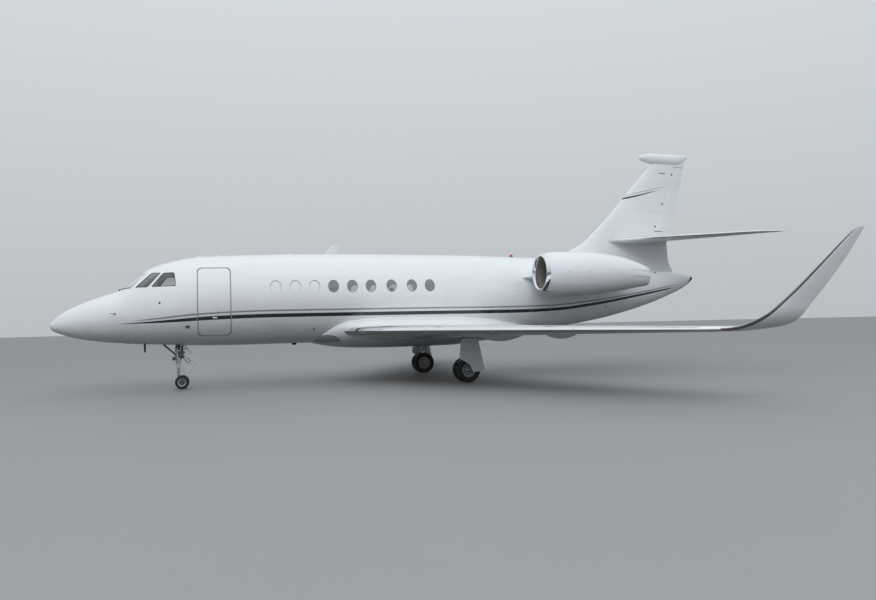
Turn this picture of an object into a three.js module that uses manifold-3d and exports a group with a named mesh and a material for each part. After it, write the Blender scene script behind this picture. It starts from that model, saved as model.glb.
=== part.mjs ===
import * as THREE from 'three';
import { mergeVertices } from 'three/addons/utils/BufferGeometryUtils.js';
import Module from 'manifold-3d';

// A twin-engine business jet with blended winglets, standing on its landing gear.
// Millimetres, +X towards the nose, +Y to the aircraft's left, +Z up, ground at Z = 0.
// "station" is the distance aft of the nose tip.

const wasm = await Module();
wasm.setup();

// Driving dimensions
const LENGTH = 20230;
const NOSE_X = LENGTH / 2;
const GAP = 0.3;                    // between pieces that touch
const WIDE = 3000;                  // beyond the object on every side of a cut
const RUNNING_GAP = 7;              // between pieces that move apart
const FAIRING_GAP = 4;              // between the belly fairing and a wing
const HINGE_SLACK = 2;              // between a hinge line and the surface that turns on it
const HINGE_END = 30;               // from the end of a control surface to its round nose
const END_GAP = 22;                 // at the ends of a surface on a swept hinge

const PRESSURE_WALL = 80;
const REAR_WALL = 32;
const FORWARD_BULKHEAD = 1550;
const GLASS = 26;
const PANE_GAP = 3;                 // round a pane, and how far it sits inside the skin
const FUSELAGE_SIDES = 28;
const LINING_SIDES = 20;
const LINING_GAP = 4;
const RADOME_END = 1000;
const COCKPIT_END = 5150;
const CABIN_END = 11500;
const REAR_END = 17800;
const TAIL_END = 19600;
// Stations of the inner faces
const COCKPIT_HOLLOW = [FORWARD_BULKHEAD, 1950, 2340, 2730, 3260, 4270, COCKPIT_END + 1];
const CABIN_HOLLOW = [COCKPIT_END - 1, 7400, CABIN_END + 1];
const REAR_HOLLOW = [CABIN_END - 1, 13000, 14000, 16000, REAR_END + 1];
const TAIL_HOLLOW = [REAR_END - 1, 18650, 19200];

// Columns: station, top, bottom, half width, height of the widest point
const FUSELAGE = [
  [0, 1800, 1770, 15, 1785],
  [20, 1855, 1722, 66, 1787],
  [80, 1920, 1660, 128, 1790],
  [230, 2060, 1588, 232, 1800],
  [380, 2165, 1530, 312, 1815],
  [690, 2325, 1440, 445, 1850],
  [1000, 2456, 1380, 560, 1890],
  [1310, 2566, 1330, 662, 1930],
  [1755, 2727, 1288, 786, 1995],
  [1950, 2889, 1270, 838, 2030],
  [2140, 3055, 1255, 884, 2065],
  [2340, 3198, 1242, 930, 2100],
  [2530, 3309, 1232, 969, 2135],
  [2730, 3388, 1222, 1005, 2165],
  [2930, 3451, 1210, 1038, 2195],
  [3260, 3528, 1190, 1083, 2240],
  [3700, 3600, 1170, 1128, 2290],
  [4270, 3632, 1155, 1172, 2340],
  [4900, 3655, 1150, 1205, 2380],
  [6200, 3685, 1150, 1245, 2418],
  [7400, 3697, 1150, 1250, 2424],
  [11500, 3665, 1150, 1250, 2410],
  [13000, 3620, 1190, 1220, 2400],
  [14000, 3590, 1320, 1140, 2455],
  [15000, 3540, 1470, 1020, 2505],
  [16000, 3450, 1628, 860, 2540],
  [17000, 3330, 1850, 680, 2590],
  [18000, 3210, 2130, 470, 2670],
  [18650, 3160, 2363, 335, 2760],
  [19100, 3125, 2545, 225, 2830],
  [19400, 3065, 2710, 140, 2890],
  [19600, 2960, 2880, 40, 2920],
];

// Belly fairing, columns as above
const BELLY = [
  [6700, 1500, 1160, 500, 1420],
  [7300, 1560, 1020, 1180, 1450],
  [7700, 1600, 985, 1330, 1460],
  [8850, 1620, 940, 1360, 1440],
  [9800, 1620, 912, 1360, 1420],
  [10840, 1600, 950, 1350, 1400],
  [11900, 1560, 1040, 1250, 1400],
  [12800, 1500, 1125, 1000, 1400],
  [13500, 1440, 1200, 500, 1380],
];

const BELLY_SIDES = 24;
const AROUND_BELLY = [6000, 14500];  // stations that the belly fairing lies between

// Windows
const WINDOW_STATIONS = [5720, 6245, 6760, 7275, 7800, 8320, 8912, 9499, 10028];
const WINDOW = { height: 350, width: 295, level: 2705 };
// Columns: station, height, seen from the side
const SIDE_PANES = {
  front: [[2150, 2735], [2470, 2748], [2795, 3142], [2560, 3137]],
  rear: [[2560, 2751], [3185, 2766], [3132, 3134], [2860, 3130]],
};
// Columns: left of the centre line, height, seen from the front
const FRONT_PANES = {
  centre: [[-92, 2735], [92, 2735], [80, 3135], [-80, 3135]],
  side: [[128, 2722], [596, 2727], [446, 3130], [115, 3138]],
};

// Blade antennas and masts, columns: station, level of the root, height (down is negative), root chord,
// tip chord, thickness, how far the tip lies aft
const BLADES = {
  front: [[2290, 1300, -262, 60, 50, 26, 10]],
  cabin: [[7200, 3670, 300, 400, 190, 45, 270], [5300, 1190, -165, 220, 130, 34, 90]],
  rear: [[14100, 1400, -180, 240, 140, 34, 100]],
};
const BEACON = { station: 13050, low: 3550, high: 3695, radius: 55 };

// Cabin door, hinged along its sill
const DOOR = { front: 3710, rear: 4560, sill: 1430, head: 3250, corner: 110, wall: 60, steps: 5 };
const STEP = { inset: 90, depth: 250, wall: 40, thickness: 40 };
const DOOR_CORNER_EASE = 26;        // extra radius at the door's own corners
const AROUND_DOOR = 100;            // skin before and after the door, of the piece it is cut from

// Wing, columns: distance from the centre line, leading edge station, trailing edge station,
// height of the leading edge, thickness, nose-up twist in degrees
const WING = [
  [1300, 7672, 11880, 1462, 420, 3.0],
  [2400, 8404, 12110, 1458, 360, 2.7],
  [3600, 9200, 12350, 1453, 300, 2.3],
  [6500, 10980, 13190, 1430, 205, 1.4],
  [9500, 12820, 14020, 1398, 112, 0.5],
];
const WING_TIP = 9500;
const FLAP_FRACTION = 0.75;         // of the chord, where the flaps start
const FLAPS = { inner: [1480, 3570], outer: [3600, 6820] };
const FLAP_GAP = 8;                 // round a flap
const TRACK_GAP = 3;                // between a flap and its track fairing
const AILERON = { inner: 6880, outer: 9200, fraction: 0.745 };

// Winglet: flat, then an arc, then straight to the tip
const WINGLET = { flat: 290, radius: 500, cant: 74, straight: 1530 };
// Columns: distance along the winglet, leading edge station, chord, thickness
const WINGLET_SHAPE = [
  [0, 12820, 1200, 112],
  [290, 13120, 1120, 96],
  [500, 13425, 1030, 82],
  [720, 13690, 905, 68],
  [935, 13950, 765, 58],
  [1300, 14355, 630, 48],
  [1900, 14930, 455, 35],
  [2260, 15275, 295, 25],
  [2400, 15425, 215, 18],
  [2465, 15560, 105, 12],
];

// Fin, columns: height, leading edge station, trailing edge station, thickness
const FIN = [
  [3150, 14100, 18870, 290],
  [3560, 14500, 18700, 282],
  [3827, 15070, 18690, 272],
  [4100, 15570, 18670, 262],
  [4350, 15850, 18830, 254],
  [4560, 16085, 18880, 248],
  [5170, 16690, 19010, 226],
  [6160, 17610, 19290, 185],
  [6720, 18145, 19450, 150],
  [6860, 18280, 19490, 140],
];
const RUDDER = { bottom: 4470, top: 6660, hingeLow: 18232, hingeHigh: 19068 };
const AROUND_FIN = [13500, TAIL_END];  // stations that the fin's root lies between
const NOSE_SIDES = 16;              // round the nose of a control surface
// Fin-tip fairing, columns: station, top, bottom, half width
const FIN_TIP = [
  [17720, 6975, 6925, 18],
  [17790, 7035, 6870, 72],
  [18000, 7085, 6800, 122],
  [18400, 7100, 6735, 150],
  [18800, 7100, 6715, 136],
  [19200, 7092, 6760, 84],
  [19570, 7080, 6985, 14],
];

const FIN_TIP_SIDES = 20;

// Tailplane, columns: distance from the centre line, leading edge station, trailing edge station,
// height, thickness
const TAILPLANE = [
  [0, 16300, 18720, 4174, 215],
  [1200, 17255, 19180, 4140, 170],
  [2650, 18410, 19735, 4095, 118],
  [3550, 19130, 20080, 4066, 84],
  [3760, 19420, 20170, 4058, 60],
  [3870, 19860, 20230, 4054, 26],
];
const ELEVATOR = { inner: 400, outer: 2650, hingeInner: 18190, hingeOuter: 19320 };

// Engines
const ENGINE = { y: 1970, level: 3000, sides: 24, coreSides: 16 };
// Columns: station, outer radius, height of the centre
const COWL = [
  [13095, 490, 3005],
  [13117, 518, 3005],
  [13180, 550, 3000],
  [13340, 592, 2985],
  [13700, 636, 2967],
  [14400, 640, 2960],
  [15060, 588, 2970],
  [15720, 498, 2958],
  [16300, 372, 2920],
  [16560, 302, 2888],
];
// The passage through the nacelle, columns as above
const DUCT = [
  [13090, 480, 3005],
  [13120, 450, 3005],
  [13200, 437, 3000],
  [13320, 434, 3000],
  [13620, 482, 3000],
  [14100, 510, 2970],
  [14400, 585, 2960],
  [15060, 540, 2970],
  [15720, 450, 2958],
  [16300, 325, 2920],
  [16565, 262, 2888],
];
// The closed engine block, and the ring that carries it in the nacelle, columns as above
const CORE = [
  [13920, 440, 2975],
  [14300, 350, 2965],
  [15500, 310, 2967],
  [16100, 180, 2950],
  [16500, 60, 2915],
];
const COLLAR = [
  [14000, 492, 2972],
  [14080, 496, 2970],
];
const FAN = { station: 13780, blades: 14, radius: 470, chord: 90, thickness: 12, rootTwist: 28,
  twistPerMm: 0.1, bury: 20 };
// Spinner and hub, columns: station aft of the fan's, radius
const SPINNER = [
  [-190, 12],
  [-120, 85],
  [-10, 150],
  [90, 158],
];
// Pylon, columns: y, leading edge station, trailing edge station, height, thickness
const PYLON = [
  [700, 12720, 16450, 2890, 210],
  [1400, 13080, 16350, 2925, 190],
  [2000, 13450, 16250, 2950, 180],
];
const AROUND_PYLON = [12000, 17500];  // stations that a pylon's root lies between

// Landing gear
const WHEEL_SIDES = 20;
const NOSE_GEAR = { station: 3264, strut: 3170, wheelRadius: 184, tyreWidth: 140, half: 118, top: 1230,
  collar: 640, barrel: 48, piston: 34, bore: 27 };
const MAIN_GEAR = { station: 10715, y: 2222, wheelRadius: 330, tyreWidth: 168, half: 162, top: 1330,
  lean: 40, collar: 690, barrel: 70, piston: 45, hub: 58, bore: 44, doorOut: 268, doorThickness: 18 };
const FORK = { rise: 30, overlap: 10, clear: 60, hub: 38 };
const PISTON_OVERLAP = 10;
const FOOT_LEAN = 0.4;              // share of a main leg's lean that is left at its collar
const HUB_CLEAR = 100;
const NOSE_DOOR = { half: 130, thickness: 14 };  // half its width
const AROUND_NOSE_LEG = [2000, 5000];  // stations that the nose leg's top lies between
// Bars that carry the leg doors and brace the legs, from and to: station, y, height; then radius.
// Stations are aft of the nose strut or the main wheels, and y is out from the leg.
const NOSE_BARS = [
  [[-380, 0, 1220], [-20, 0, 900], 20],
  [[-10, 0, 880], [360, 0, 880], 14],
];
const NOSE_LINKS = [
  [[30, 0, 600], [150, 0, 470], 12],
  [[150, 0, 470], [30, 0, 330], 12],
];
const MAIN_BARS = [
  [[30, 0, 900], [60, -620, 1150], 32],
  [[60, 0, 820], [100, 275, 820], 22],
  [[30, 0, 1080], [60, 275, 1080], 22],
  [[-60, 0, 690], [-235, 0, 530], 20],
  [[-235, 0, 530], [-30, 0, 390], 20],
];
// Columns: station, height
const MAIN_LEG_DOOR = [[10500, 1190], [10975, 1190], [11155, 350], [11095, 300], [10810, 270], [10735, 480],
  [10430, 660]];
// The nose leg's door lies across the aircraft, from and to: station, height
const NOSE_LEG_DOOR = [[3310, 1200], [3760, 600]];

// Jacking pads: station and level at the nose, station, distance out and level under a wing
const JACK_PADS = { nose: [1900, 1252], wing: [9950, 3000, 1212], radius: 45, depth: 70 };

// Cabin
const FLOOR = { level: 1640, thickness: 50, start: 2350, end: 11400 };
const PANEL = { start: 1950, end: 2250, low: 2200, high: 2700 };
const SEAT = { half: 240, length: 500, height: 440, backHeight: 1120, backThickness: 140 };
const CREW_SEATS = { station: 3000, y: 480 };
const CABIN_SEATS = { stations: [5800, 7150, 7750, 9100], y: 620, railHeight: 60, railOverhang: 200 };

// Paint, metal and trim
const FINISH = {
  white: { color: 0xf1f3f5, roughness: 0.25, metalness: 0.0 },
  metal: { color: 0xc9ccd0, roughness: 0.25, metalness: 1.0 },
  grey: { color: 0x9da1a5, roughness: 0.5, metalness: 0.3 },
  dark: { color: 0x2b2d30, roughness: 0.6, metalness: 0.4 },
  rubber: { color: 0x1c1c1d, roughness: 0.9, metalness: 0.0 },
  glass: { color: 0x9fb0b8, roughness: 0.05, metalness: 0.0 },
  leather: { color: 0xcfc4b2, roughness: 0.6, metalness: 0.0 },
  trim: { color: 0x8d8579, roughness: 0.8, metalness: 0.0 },
};

const jet = new THREE.Group();

// Tables and angles

const rad = THREE.MathUtils.degToRad;

function row(table, at) {
  let i = 1;
  while (i < table.length - 1 && table[i][0] < at) i += 1;
  const [low, high] = [table[i - 1], table[i]];
  const part = (at - low[0]) / (high[0] - low[0]);
  return low.map((value, column) => value + (high[column] - value) * part);
}

function stationsBetween(table, start, end) {
  const inside = table.map((line) => line[0]).filter((at) => at > start + 1 && at < end - 1);
  return [start, ...inside, end];
}

// Solids

function solidOf(geometry) {
  const bare = geometry.clone();
  bare.deleteAttribute('normal');
  bare.deleteAttribute('uv');
  const merged = mergeVertices(bare, 1e-3);
  return closedSolid(Array.from(merged.attributes.position.array), Array.from(merged.index.array));
}

function closedSolid(positions, triangles) {
  const point = (i) => new THREE.Vector3(...positions.slice(3 * i, 3 * i + 3));
  const kept = [];
  let volume = 0;
  for (let t = 0; t < triangles.length; t += 3) {
    const [a, b, c] = triangles.slice(t, t + 3);
    if (a === b || b === c || c === a) continue;
    kept.push([a, b, c]);
    volume += point(a).dot(point(b).cross(point(c)));
  }
  const facing = volume > 0 ? kept : kept.map(([a, b, c]) => [a, c, b]);
  return new wasm.Manifold(new wasm.Mesh({
    numProp: 3,
    vertProperties: new Float32Array(positions),
    triVerts: new Uint32Array(facing.flat()),
  }));
}

// A closed body through rings that all have the same number of points
function loft(rings) {
  const sides = rings[0].length;
  const positions = rings.flat(2);
  const triangles = [];
  for (let r = 0; r < rings.length - 1; r += 1) {
    for (let i = 0; i < sides; i += 1) {
      const [a, b] = [r * sides + i, r * sides + ((i + 1) % sides)];
      triangles.push(a, b, b + sides, a, b + sides, a + sides);
    }
  }
  for (const [end, first] of [[0, 0], [1, (rings.length - 1) * sides]]) {
    const ring = rings[end ? rings.length - 1 : 0];
    const centre = [0, 1, 2].map((k) => ring.reduce((sum, p) => sum + p[k], 0) / sides);
    const hub = positions.length / 3;
    positions.push(...centre);
    for (let i = 0; i < sides; i += 1) {
      const [a, b] = [first + i, first + ((i + 1) % sides)];
      triangles.push(...(end ? [a, b, hub] : [b, a, hub]));
    }
  }
  return closedSolid(positions, triangles);
}

// An outline of [station, height] points, extruded sideways from y0 to y1
function sidePrism(outline, y0, y1) {
  const shape = new THREE.Shape(outline.map(([at, z]) => new THREE.Vector2(NOSE_X - at, z)));
  const geometry = new THREE.ExtrudeGeometry(shape, { depth: y1 - y0, bevelEnabled: false });
  geometry.rotateX(Math.PI / 2);
  geometry.translate(0, y1, 0);
  return solidOf(geometry);
}

// An outline of [station, y] points, extruded upwards from z0 to z1
function planPrism(outline, z0, z1) {
  const shape = new THREE.Shape(outline.map(([at, y]) => new THREE.Vector2(NOSE_X - at, y)));
  const geometry = new THREE.ExtrudeGeometry(shape, { depth: z1 - z0, bevelEnabled: false });
  geometry.translate(0, 0, z0);
  return solidOf(geometry);
}

// An outline of [y, height] points, extruded aft from one station to another
function frontPrism(outline, start, end) {
  const shape = new THREE.Shape(outline.map(([y, z]) => new THREE.Vector2(y, z)));
  const geometry = new THREE.ExtrudeGeometry(shape, { depth: end - start, bevelEnabled: false });
  geometry.applyMatrix4(new THREE.Matrix4().makeBasis(
    new THREE.Vector3(0, 1, 0), new THREE.Vector3(0, 0, 1), new THREE.Vector3(1, 0, 0)));
  geometry.translate(NOSE_X - end, 0, 0);
  return solidOf(geometry);
}

function box(station0, station1, y0, y1, z0, z1) {
  const geometry = new THREE.BoxGeometry(station1 - station0, y1 - y0, z1 - z0);
  geometry.translate(NOSE_X - (station0 + station1) / 2, (y0 + y1) / 2, (z0 + z1) / 2);
  return solidOf(geometry);
}

// A round bar or cone between two [station, y, height] points
function rod(from, to, radiusFrom, radiusTo = radiusFrom, sides = 12) {
  const a = new THREE.Vector3(NOSE_X - from[0], from[1], from[2]);
  const b = new THREE.Vector3(NOSE_X - to[0], to[1], to[2]);
  const geometry = new THREE.CylinderGeometry(radiusTo, radiusFrom, a.distanceTo(b), sides);
  geometry.applyQuaternion(new THREE.Quaternion().setFromUnitVectors(
    new THREE.Vector3(0, 1, 0), b.clone().sub(a).normalize()));
  geometry.translate(...a.clone().add(b).multiplyScalar(0.5).toArray());
  return solidOf(geometry);
}

// A profile of [radius, y] points turned about a lateral axis
function turned(profile, centre, sides) {
  const geometry = new THREE.LatheGeometry(profile.map(([r, y]) => new THREE.Vector2(r, y)), sides);
  geometry.translate(NOSE_X - centre[0], centre[1], centre[2]);
  return solidOf(geometry);
}

function roundedOutline(x0, x1, z0, z1, corner, steps = 4) {
  const corners = [[x1 - corner, z1 - corner, 0], [x0 + corner, z1 - corner, 90],
    [x0 + corner, z0 + corner, 180], [x1 - corner, z0 + corner, 270]];
  return corners.flatMap(([cx, cz, start]) => Array.from({ length: steps + 1 }, (_, i) => {
    const angle = rad(start + (90 * i) / steps);
    return [cx + corner * Math.cos(angle), cz + corner * Math.sin(angle)];
  }));
}

function ovalOutline(cx, cz, width, height, sides = 12) {
  return Array.from({ length: sides }, (_, i) => {
    const angle = (2 * Math.PI * i) / sides;
    return [cx + (width / 2) * Math.cos(angle), cz + (height / 2) * Math.sin(angle)];
  });
}

function addPiece(name, solid, finish) {
  const { vertProperties, triVerts } = solid.getMesh();
  const geometry = new THREE.BufferGeometry();
  geometry.setAttribute('position', new THREE.BufferAttribute(new Float32Array(vertProperties), 3));
  geometry.setIndex(new THREE.BufferAttribute(new Uint32Array(triVerts), 1));
  geometry.computeVertexNormals();
  const mesh = new THREE.Mesh(geometry, new THREE.MeshStandardMaterial({ ...FINISH[finish] }));
  mesh.name = name;
  jet.add(mesh);
}

// The same piece on the left (side 1) and on the right (side -1)
const SIDES = [['left', 1], ['right', -1]];

function onSide(solid, side) {
  return side > 0 ? solid : solid.mirror([0, 1, 0]);
}

// Fuselage

function fuselageRing(table, at, inset, sides) {
  const [, top, bottom, half, waist] = row(table, at);
  return Array.from({ length: sides }, (_, i) => {
    const angle = (2 * Math.PI * i) / sides;
    const height = (Math.sin(angle) > 0 ? top - waist : waist - bottom) - inset;
    return [NOSE_X - at, (half - inset) * Math.cos(angle), waist + height * Math.sin(angle)];
  });
}

function hull(start, end, inset = 0, table = FUSELAGE, sides = FUSELAGE_SIDES) {
  return loft(stationsBetween(table, start, end).map((at) => fuselageRing(table, at, inset, sides)));
}

// The space inside a wall through the given stations
function hollowThrough(stations, wall) {
  return loft(stations.map((at) => fuselageRing(FUSELAGE, at, wall, LINING_SIDES)));
}

function tube(start, end, wall, hollow) {
  return hull(start, end).subtract(hollowThrough(hollow, wall));
}

// The cockpit and the entrance, hollow down to the floor
function cockpitTube() {
  const aboveFloor = box(0, LENGTH, -WIDE, WIDE, FLOOR.level - FLOOR.thickness - GAP, WIDE + FLOOR.level);
  const hollow = hollowThrough(COCKPIT_HOLLOW, PRESSURE_WALL).intersect(aboveFloor);
  return hull(RADOME_END + GAP, COCKPIT_END - GAP).subtract(hollow);
}

function bellySolid(grow) {
  return hull(BELLY[0][0] - grow, BELLY[BELLY.length - 1][0] + grow, -grow, BELLY, BELLY_SIDES);
}

function doorOutline(inset, ease = 0) {
  return roundedOutline(DOOR.front + inset, DOOR.rear - inset, DOOR.sill + inset, DOOR.head - inset,
    DOOR.corner - inset + ease);
}

function scaled(outline, amount) {
  const cx = outline.reduce((sum, p) => sum + p[0], 0) / outline.length;
  const cz = outline.reduce((sum, p) => sum + p[1], 0) / outline.length;
  return outline.map(([x, z]) => {
    const reach = Math.hypot(x - cx, z - cz);
    return [cx + (x - cx) * (1 - amount / reach), cz + (z - cz) * (1 - amount / reach)];
  });
}

function mirrored(outline) {
  return outline.map(([y, z]) => [-y, z]);
}

// How far a cut reaches: stations through the windscreen, y through a side window and the door
const SCREEN_REACH = [1500, 2750];
const SIDE_REACH = [300, 1300];
const DOOR_REACH = [200, 1500];

function screenCut(outline) {
  return (less) => frontPrism(scaled(outline, less), ...SCREEN_REACH);
}

function sideCut(outline, side) {
  return (less) => onSide(sidePrism(scaled(outline, less), ...SIDE_REACH), side);
}

// Each pane: name, the cut through its opening for a given shrink
const PANE_OPENINGS = [
  ['windshield_centre', screenCut(FRONT_PANES.centre)],
  ['windshield_left', screenCut(FRONT_PANES.side)],
  ['windshield_right', screenCut(mirrored(FRONT_PANES.side))],
  ['front_side_window_left', sideCut(SIDE_PANES.front, 1)],
  ['front_side_window_right', sideCut(SIDE_PANES.front, -1)],
  ['rear_side_window_left', sideCut(SIDE_PANES.rear, 1)],
  ['rear_side_window_right', sideCut(SIDE_PANES.rear, -1)],
];

// A round flat pad, from its face up into the skin
function jackPad(station, y, level) {
  return rod([station, y, level + JACK_PADS.depth], [station, y, level], JACK_PADS.radius);
}

// A small upright or hanging blade on the skin
function bladeSolid([station, level, height, root, tip, thickness, sweep]) {
  return loft([[station, root, level, thickness], [station + sweep, tip, level + height, thickness / 2]]
    .map(([at, chord, z, thick]) => sectionRing(at, at + chord, 0, z, thick, [1, 0])));
}

function withBlades(shell, blades) {
  return blades.reduce((all, blade) => all.add(bladeSolid(blade)), shell);
}

function makeCockpitShell() {
  let shell = cockpitTube();
  for (const [, opening] of PANE_OPENINGS) shell = shell.subtract(opening(0));
  shell = shell.subtract(sidePrism(doorOutline(0), DOOR_REACH[0], DOOR_REACH[1]));
  shell = withBlades(shell.add(jackPad(JACK_PADS.nose[0], 0, JACK_PADS.nose[1])), BLADES.front);
  addPiece('fuselage_front', shell, 'white');
}

function makePanes() {
  const [start, end] = [SCREEN_REACH[0], DOOR.front - AROUND_DOOR];
  const skin = hull(start, end, PANE_GAP).subtract(hull(start - 1, end + 1, PANE_GAP + GLASS));
  for (const [name, opening] of PANE_OPENINGS) addPiece(name, skin.intersect(opening(PANE_GAP)), 'glass');
}

function makeCabinShell() {
  let shell = tube(COCKPIT_END, CABIN_END - GAP, PRESSURE_WALL, CABIN_HOLLOW);
  for (const at of WINDOW_STATIONS) {
    const oval = ovalOutline(at, WINDOW.level, WINDOW.width, WINDOW.height);
    shell = shell.subtract(sidePrism(oval, -WIDE, WIDE));
  }
  addPiece('fuselage_cabin', withBlades(shell, BLADES.cabin), 'white');
}

function makeDoor() {
  const [start, end] = [DOOR.front - AROUND_DOOR, DOOR.rear + AROUND_DOOR];
  const skin = tube(start, end, DOOR.wall, [start - 1, end + 1]);
  let door = skin.intersect(sidePrism(doorOutline(RUNNING_GAP, DOOR_CORNER_EASE), ...DOOR_REACH));
  const [, top, bottom, half, waist] = row(FUSELAGE, (DOOR.front + DOOR.rear) / 2);
  const rise = (DOOR.head - DOOR.sill) / (DOOR.steps + 1);
  for (let i = 1; i <= DOOR.steps; i += 1) {
    const z = DOOR.sill + rise * i;
    const reach = z > waist ? top - waist : waist - bottom;
    const y = half * Math.sqrt(1 - ((z - waist) / reach) ** 2);
    door = door.add(box(DOOR.front + STEP.inset, DOOR.rear - STEP.inset, y - STEP.depth, y - STEP.wall,
      z - STEP.thickness / 2, z + STEP.thickness / 2));
  }
  addPiece('cabin_door', door, 'white');
}

function makeFuselage() {
  addPiece('nose_cone', hull(0, RADOME_END), 'white');
  makeCockpitShell();
  makePanes();
  makeDoor();
  makeCabinShell();
  const rear = withBlades(tube(CABIN_END, REAR_END - GAP, REAR_WALL, REAR_HOLLOW), BLADES.rear);
  const beacon = rod([BEACON.station, 0, BEACON.low], [BEACON.station, 0, BEACON.high], BEACON.radius);
  addPiece('fuselage_rear', rear.add(beacon), 'white');
  addPiece('tail_cone', tube(REAR_END, TAIL_END, REAR_WALL, TAIL_HOLLOW), 'white');
  addPiece('belly_fairing', bellySolid(0).subtract(hull(...AROUND_BELLY, -GAP)), 'white');
}

// Wings and tail surfaces

// Half thickness of a streamlined section at a fraction of its chord, 1 at its thickest
function sectionShape(x) {
  return 10 * (0.2969 * Math.sqrt(x) - 0.126 * x - 0.3516 * x ** 2 + 0.2843 * x ** 3 - 0.1015 * x ** 4);
}

const SECTION_STEPS = 7;

// A section ring: lead and trail stations, a point on the leading edge, the thickness direction
function sectionRing(lead, trail, y, z, thickness, normal, twist = 0, grow = 0) {
  const chord = trail - lead + 2 * grow;
  return Array.from({ length: 2 * SECTION_STEPS + 1 }, (_, k) => {
    const x = (1 + Math.cos((Math.PI * k) / SECTION_STEPS)) / 2;
    const side = k < SECTION_STEPS ? 1 : -1;
    const offset = k === SECTION_STEPS ? 0 : side * (thickness / 2 + grow) * sectionShape(x);
    const along = chord * x - grow;
    const drop = along * Math.sin(rad(twist));
    return [NOSE_X - lead - along, y + offset * normal[0], z - drop + offset * normal[1]];
  });
}

const UP = [0, 1];

function wingSolid(grow) {
  return loft(WING.map(([y, lead, trail, z, thick, twist]) => (
    sectionRing(lead, trail, y, z, thick, UP, twist, grow))));
}

// The line at a fraction of the wing's chord: [station, y, height, half thickness]
function wingLine(y, fraction) {
  const [, lead, trail, z, thick, twist] = row(WING, y);
  const along = (trail - lead) * fraction;
  return [lead + along, y, z - along * Math.sin(rad(twist)), (thick / 2) * sectionShape(fraction)];
}

function aileronHinge() {
  return [wingLine(AILERON.inner, AILERON.fraction), wingLine(AILERON.outer, AILERON.fraction)];
}

// The region aft of a line between two [station, y] points, from y0 to y1
function aftOf(inner, outer, y0, y1) {
  const slope = (outer[0] - inner[0]) / (outer[1] - inner[1]);
  const at = (y) => inner[0] + slope * (y - inner[1]);
  return planPrism([[at(y0), y0], [at(y1), y1], [at(y1) + WIDE, y1], [at(y0) + WIDE, y0]], 0, 2 * WIDE);
}

function slack([at, y]) {
  return [at + HINGE_SLACK, y];
}

function flapRegion([y0, y1], less) {
  const [inner, outer] = [wingLine(y0, FLAP_FRACTION), wingLine(y1, FLAP_FRACTION)];
  return aftOf([inner[0] + less, y0], [outer[0] + less, y1], y0 + less, y1 - less);
}

function makeWing(name, side) {
  const whole = wingSolid(0);
  const [inner, outer] = aileronHinge();
  const noseOf = (gap) => rod(inner, outer, inner[3] + gap, outer[3] + gap, NOSE_SIDES);
  const bay = aftOf(inner, outer, AILERON.inner, AILERON.outer);
  let wing = whole.subtract(bay).subtract(noseOf(RUNNING_GAP)).subtract(bellySolid(FAIRING_GAP));
  for (const [part, span] of Object.entries(FLAPS)) {
    wing = wing.subtract(flapRegion(span, 0));
    addPiece(`flap_${part}_${name}`, onSide(whole.intersect(flapRegion(span, FLAP_GAP)), side), 'white');
  }
  const flaps = Object.values(FLAPS).map((span) => (
    wingSolid(TRACK_GAP).intersect(flapRegion(span, -TRACK_GAP))));
  for (const track of FLAP_TRACKS) {
    wing = wing.add(flaps.reduce((all, flap) => all.subtract(flap), trackFairing(track)));
  }
  wing = wing.add(jackPad(...JACK_PADS.wing));
  addPiece(`wing_${name}`, onSide(wing, side), 'white');
  const tab = aftOf(slack(inner), slack(outer), AILERON.inner + RUNNING_GAP, AILERON.outer - RUNNING_GAP);
  const ends = box(0, LENGTH, AILERON.inner + HINGE_END, AILERON.outer - HINGE_END, 0, WIDE);
  const aileron = whole.intersect(tab).add(noseOf(0).intersect(ends));
  addPiece(`aileron_${name}`, onSide(aileron, side), 'white');
}

// Flap track fairings under the wing, columns: y, start, end, top, depth, half width
const FLAP_TRACKS = [
  [3585, 10550, 11900, 1290, 170, 70],
  [5600, 11530, 12390, 1310, 120, 50],
];
const TRACK = { sections: 6, sides: 12, rise: 20, blunt: 0.06 };

function trackFairing([y, start, end, level, depth, half]) {
  return loft(Array.from({ length: TRACK.sections }, (_, k) => {
    const t = (1 - Math.cos((Math.PI * k) / (TRACK.sections - 1))) / 2;
    const size = Math.sin(Math.PI * (TRACK.blunt + (1 - 2 * TRACK.blunt) * t));
    return Array.from({ length: TRACK.sides }, (__, i) => {
      const angle = (2 * Math.PI * i) / TRACK.sides;
      const height = Math.sin(angle) > 0 ? TRACK.rise : depth * size;
      return [NOSE_X - start - (end - start) * t, y + half * size * Math.cos(angle),
        level + height * Math.sin(angle)];
    });
  }));
}

function wingletRing([along, lead, chord, thick]) {
  const { flat, radius, cant, straight } = WINGLET;
  const bend = Math.min(Math.max((along - flat) / radius, 0), rad(cant));
  const rest = Math.max(along - flat - radius * rad(cant), 0);
  const out = Math.min(along, flat) + radius * Math.sin(bend) + Math.min(rest, straight) * Math.cos(bend);
  const rise = radius * (1 - Math.cos(bend)) + rest * Math.sin(bend);
  const [y, z] = [WING_TIP + Math.max(out, GAP), WING[WING.length - 1][3] + rise];
  return sectionRing(lead, lead + chord, y, z, thick, [-Math.sin(bend), Math.cos(bend)]);
}

function makeWinglet(name, side) {
  addPiece(`winglet_${name}`, onSide(loft(WINGLET_SHAPE.map(wingletRing)), side), 'white');
}

function finSolid(grow) {
  return loft(FIN.map(([z, lead, trail, thick]) => (
    sectionRing(lead, trail, 0, z, thick, [1, 0], 0, grow))));
}

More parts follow.
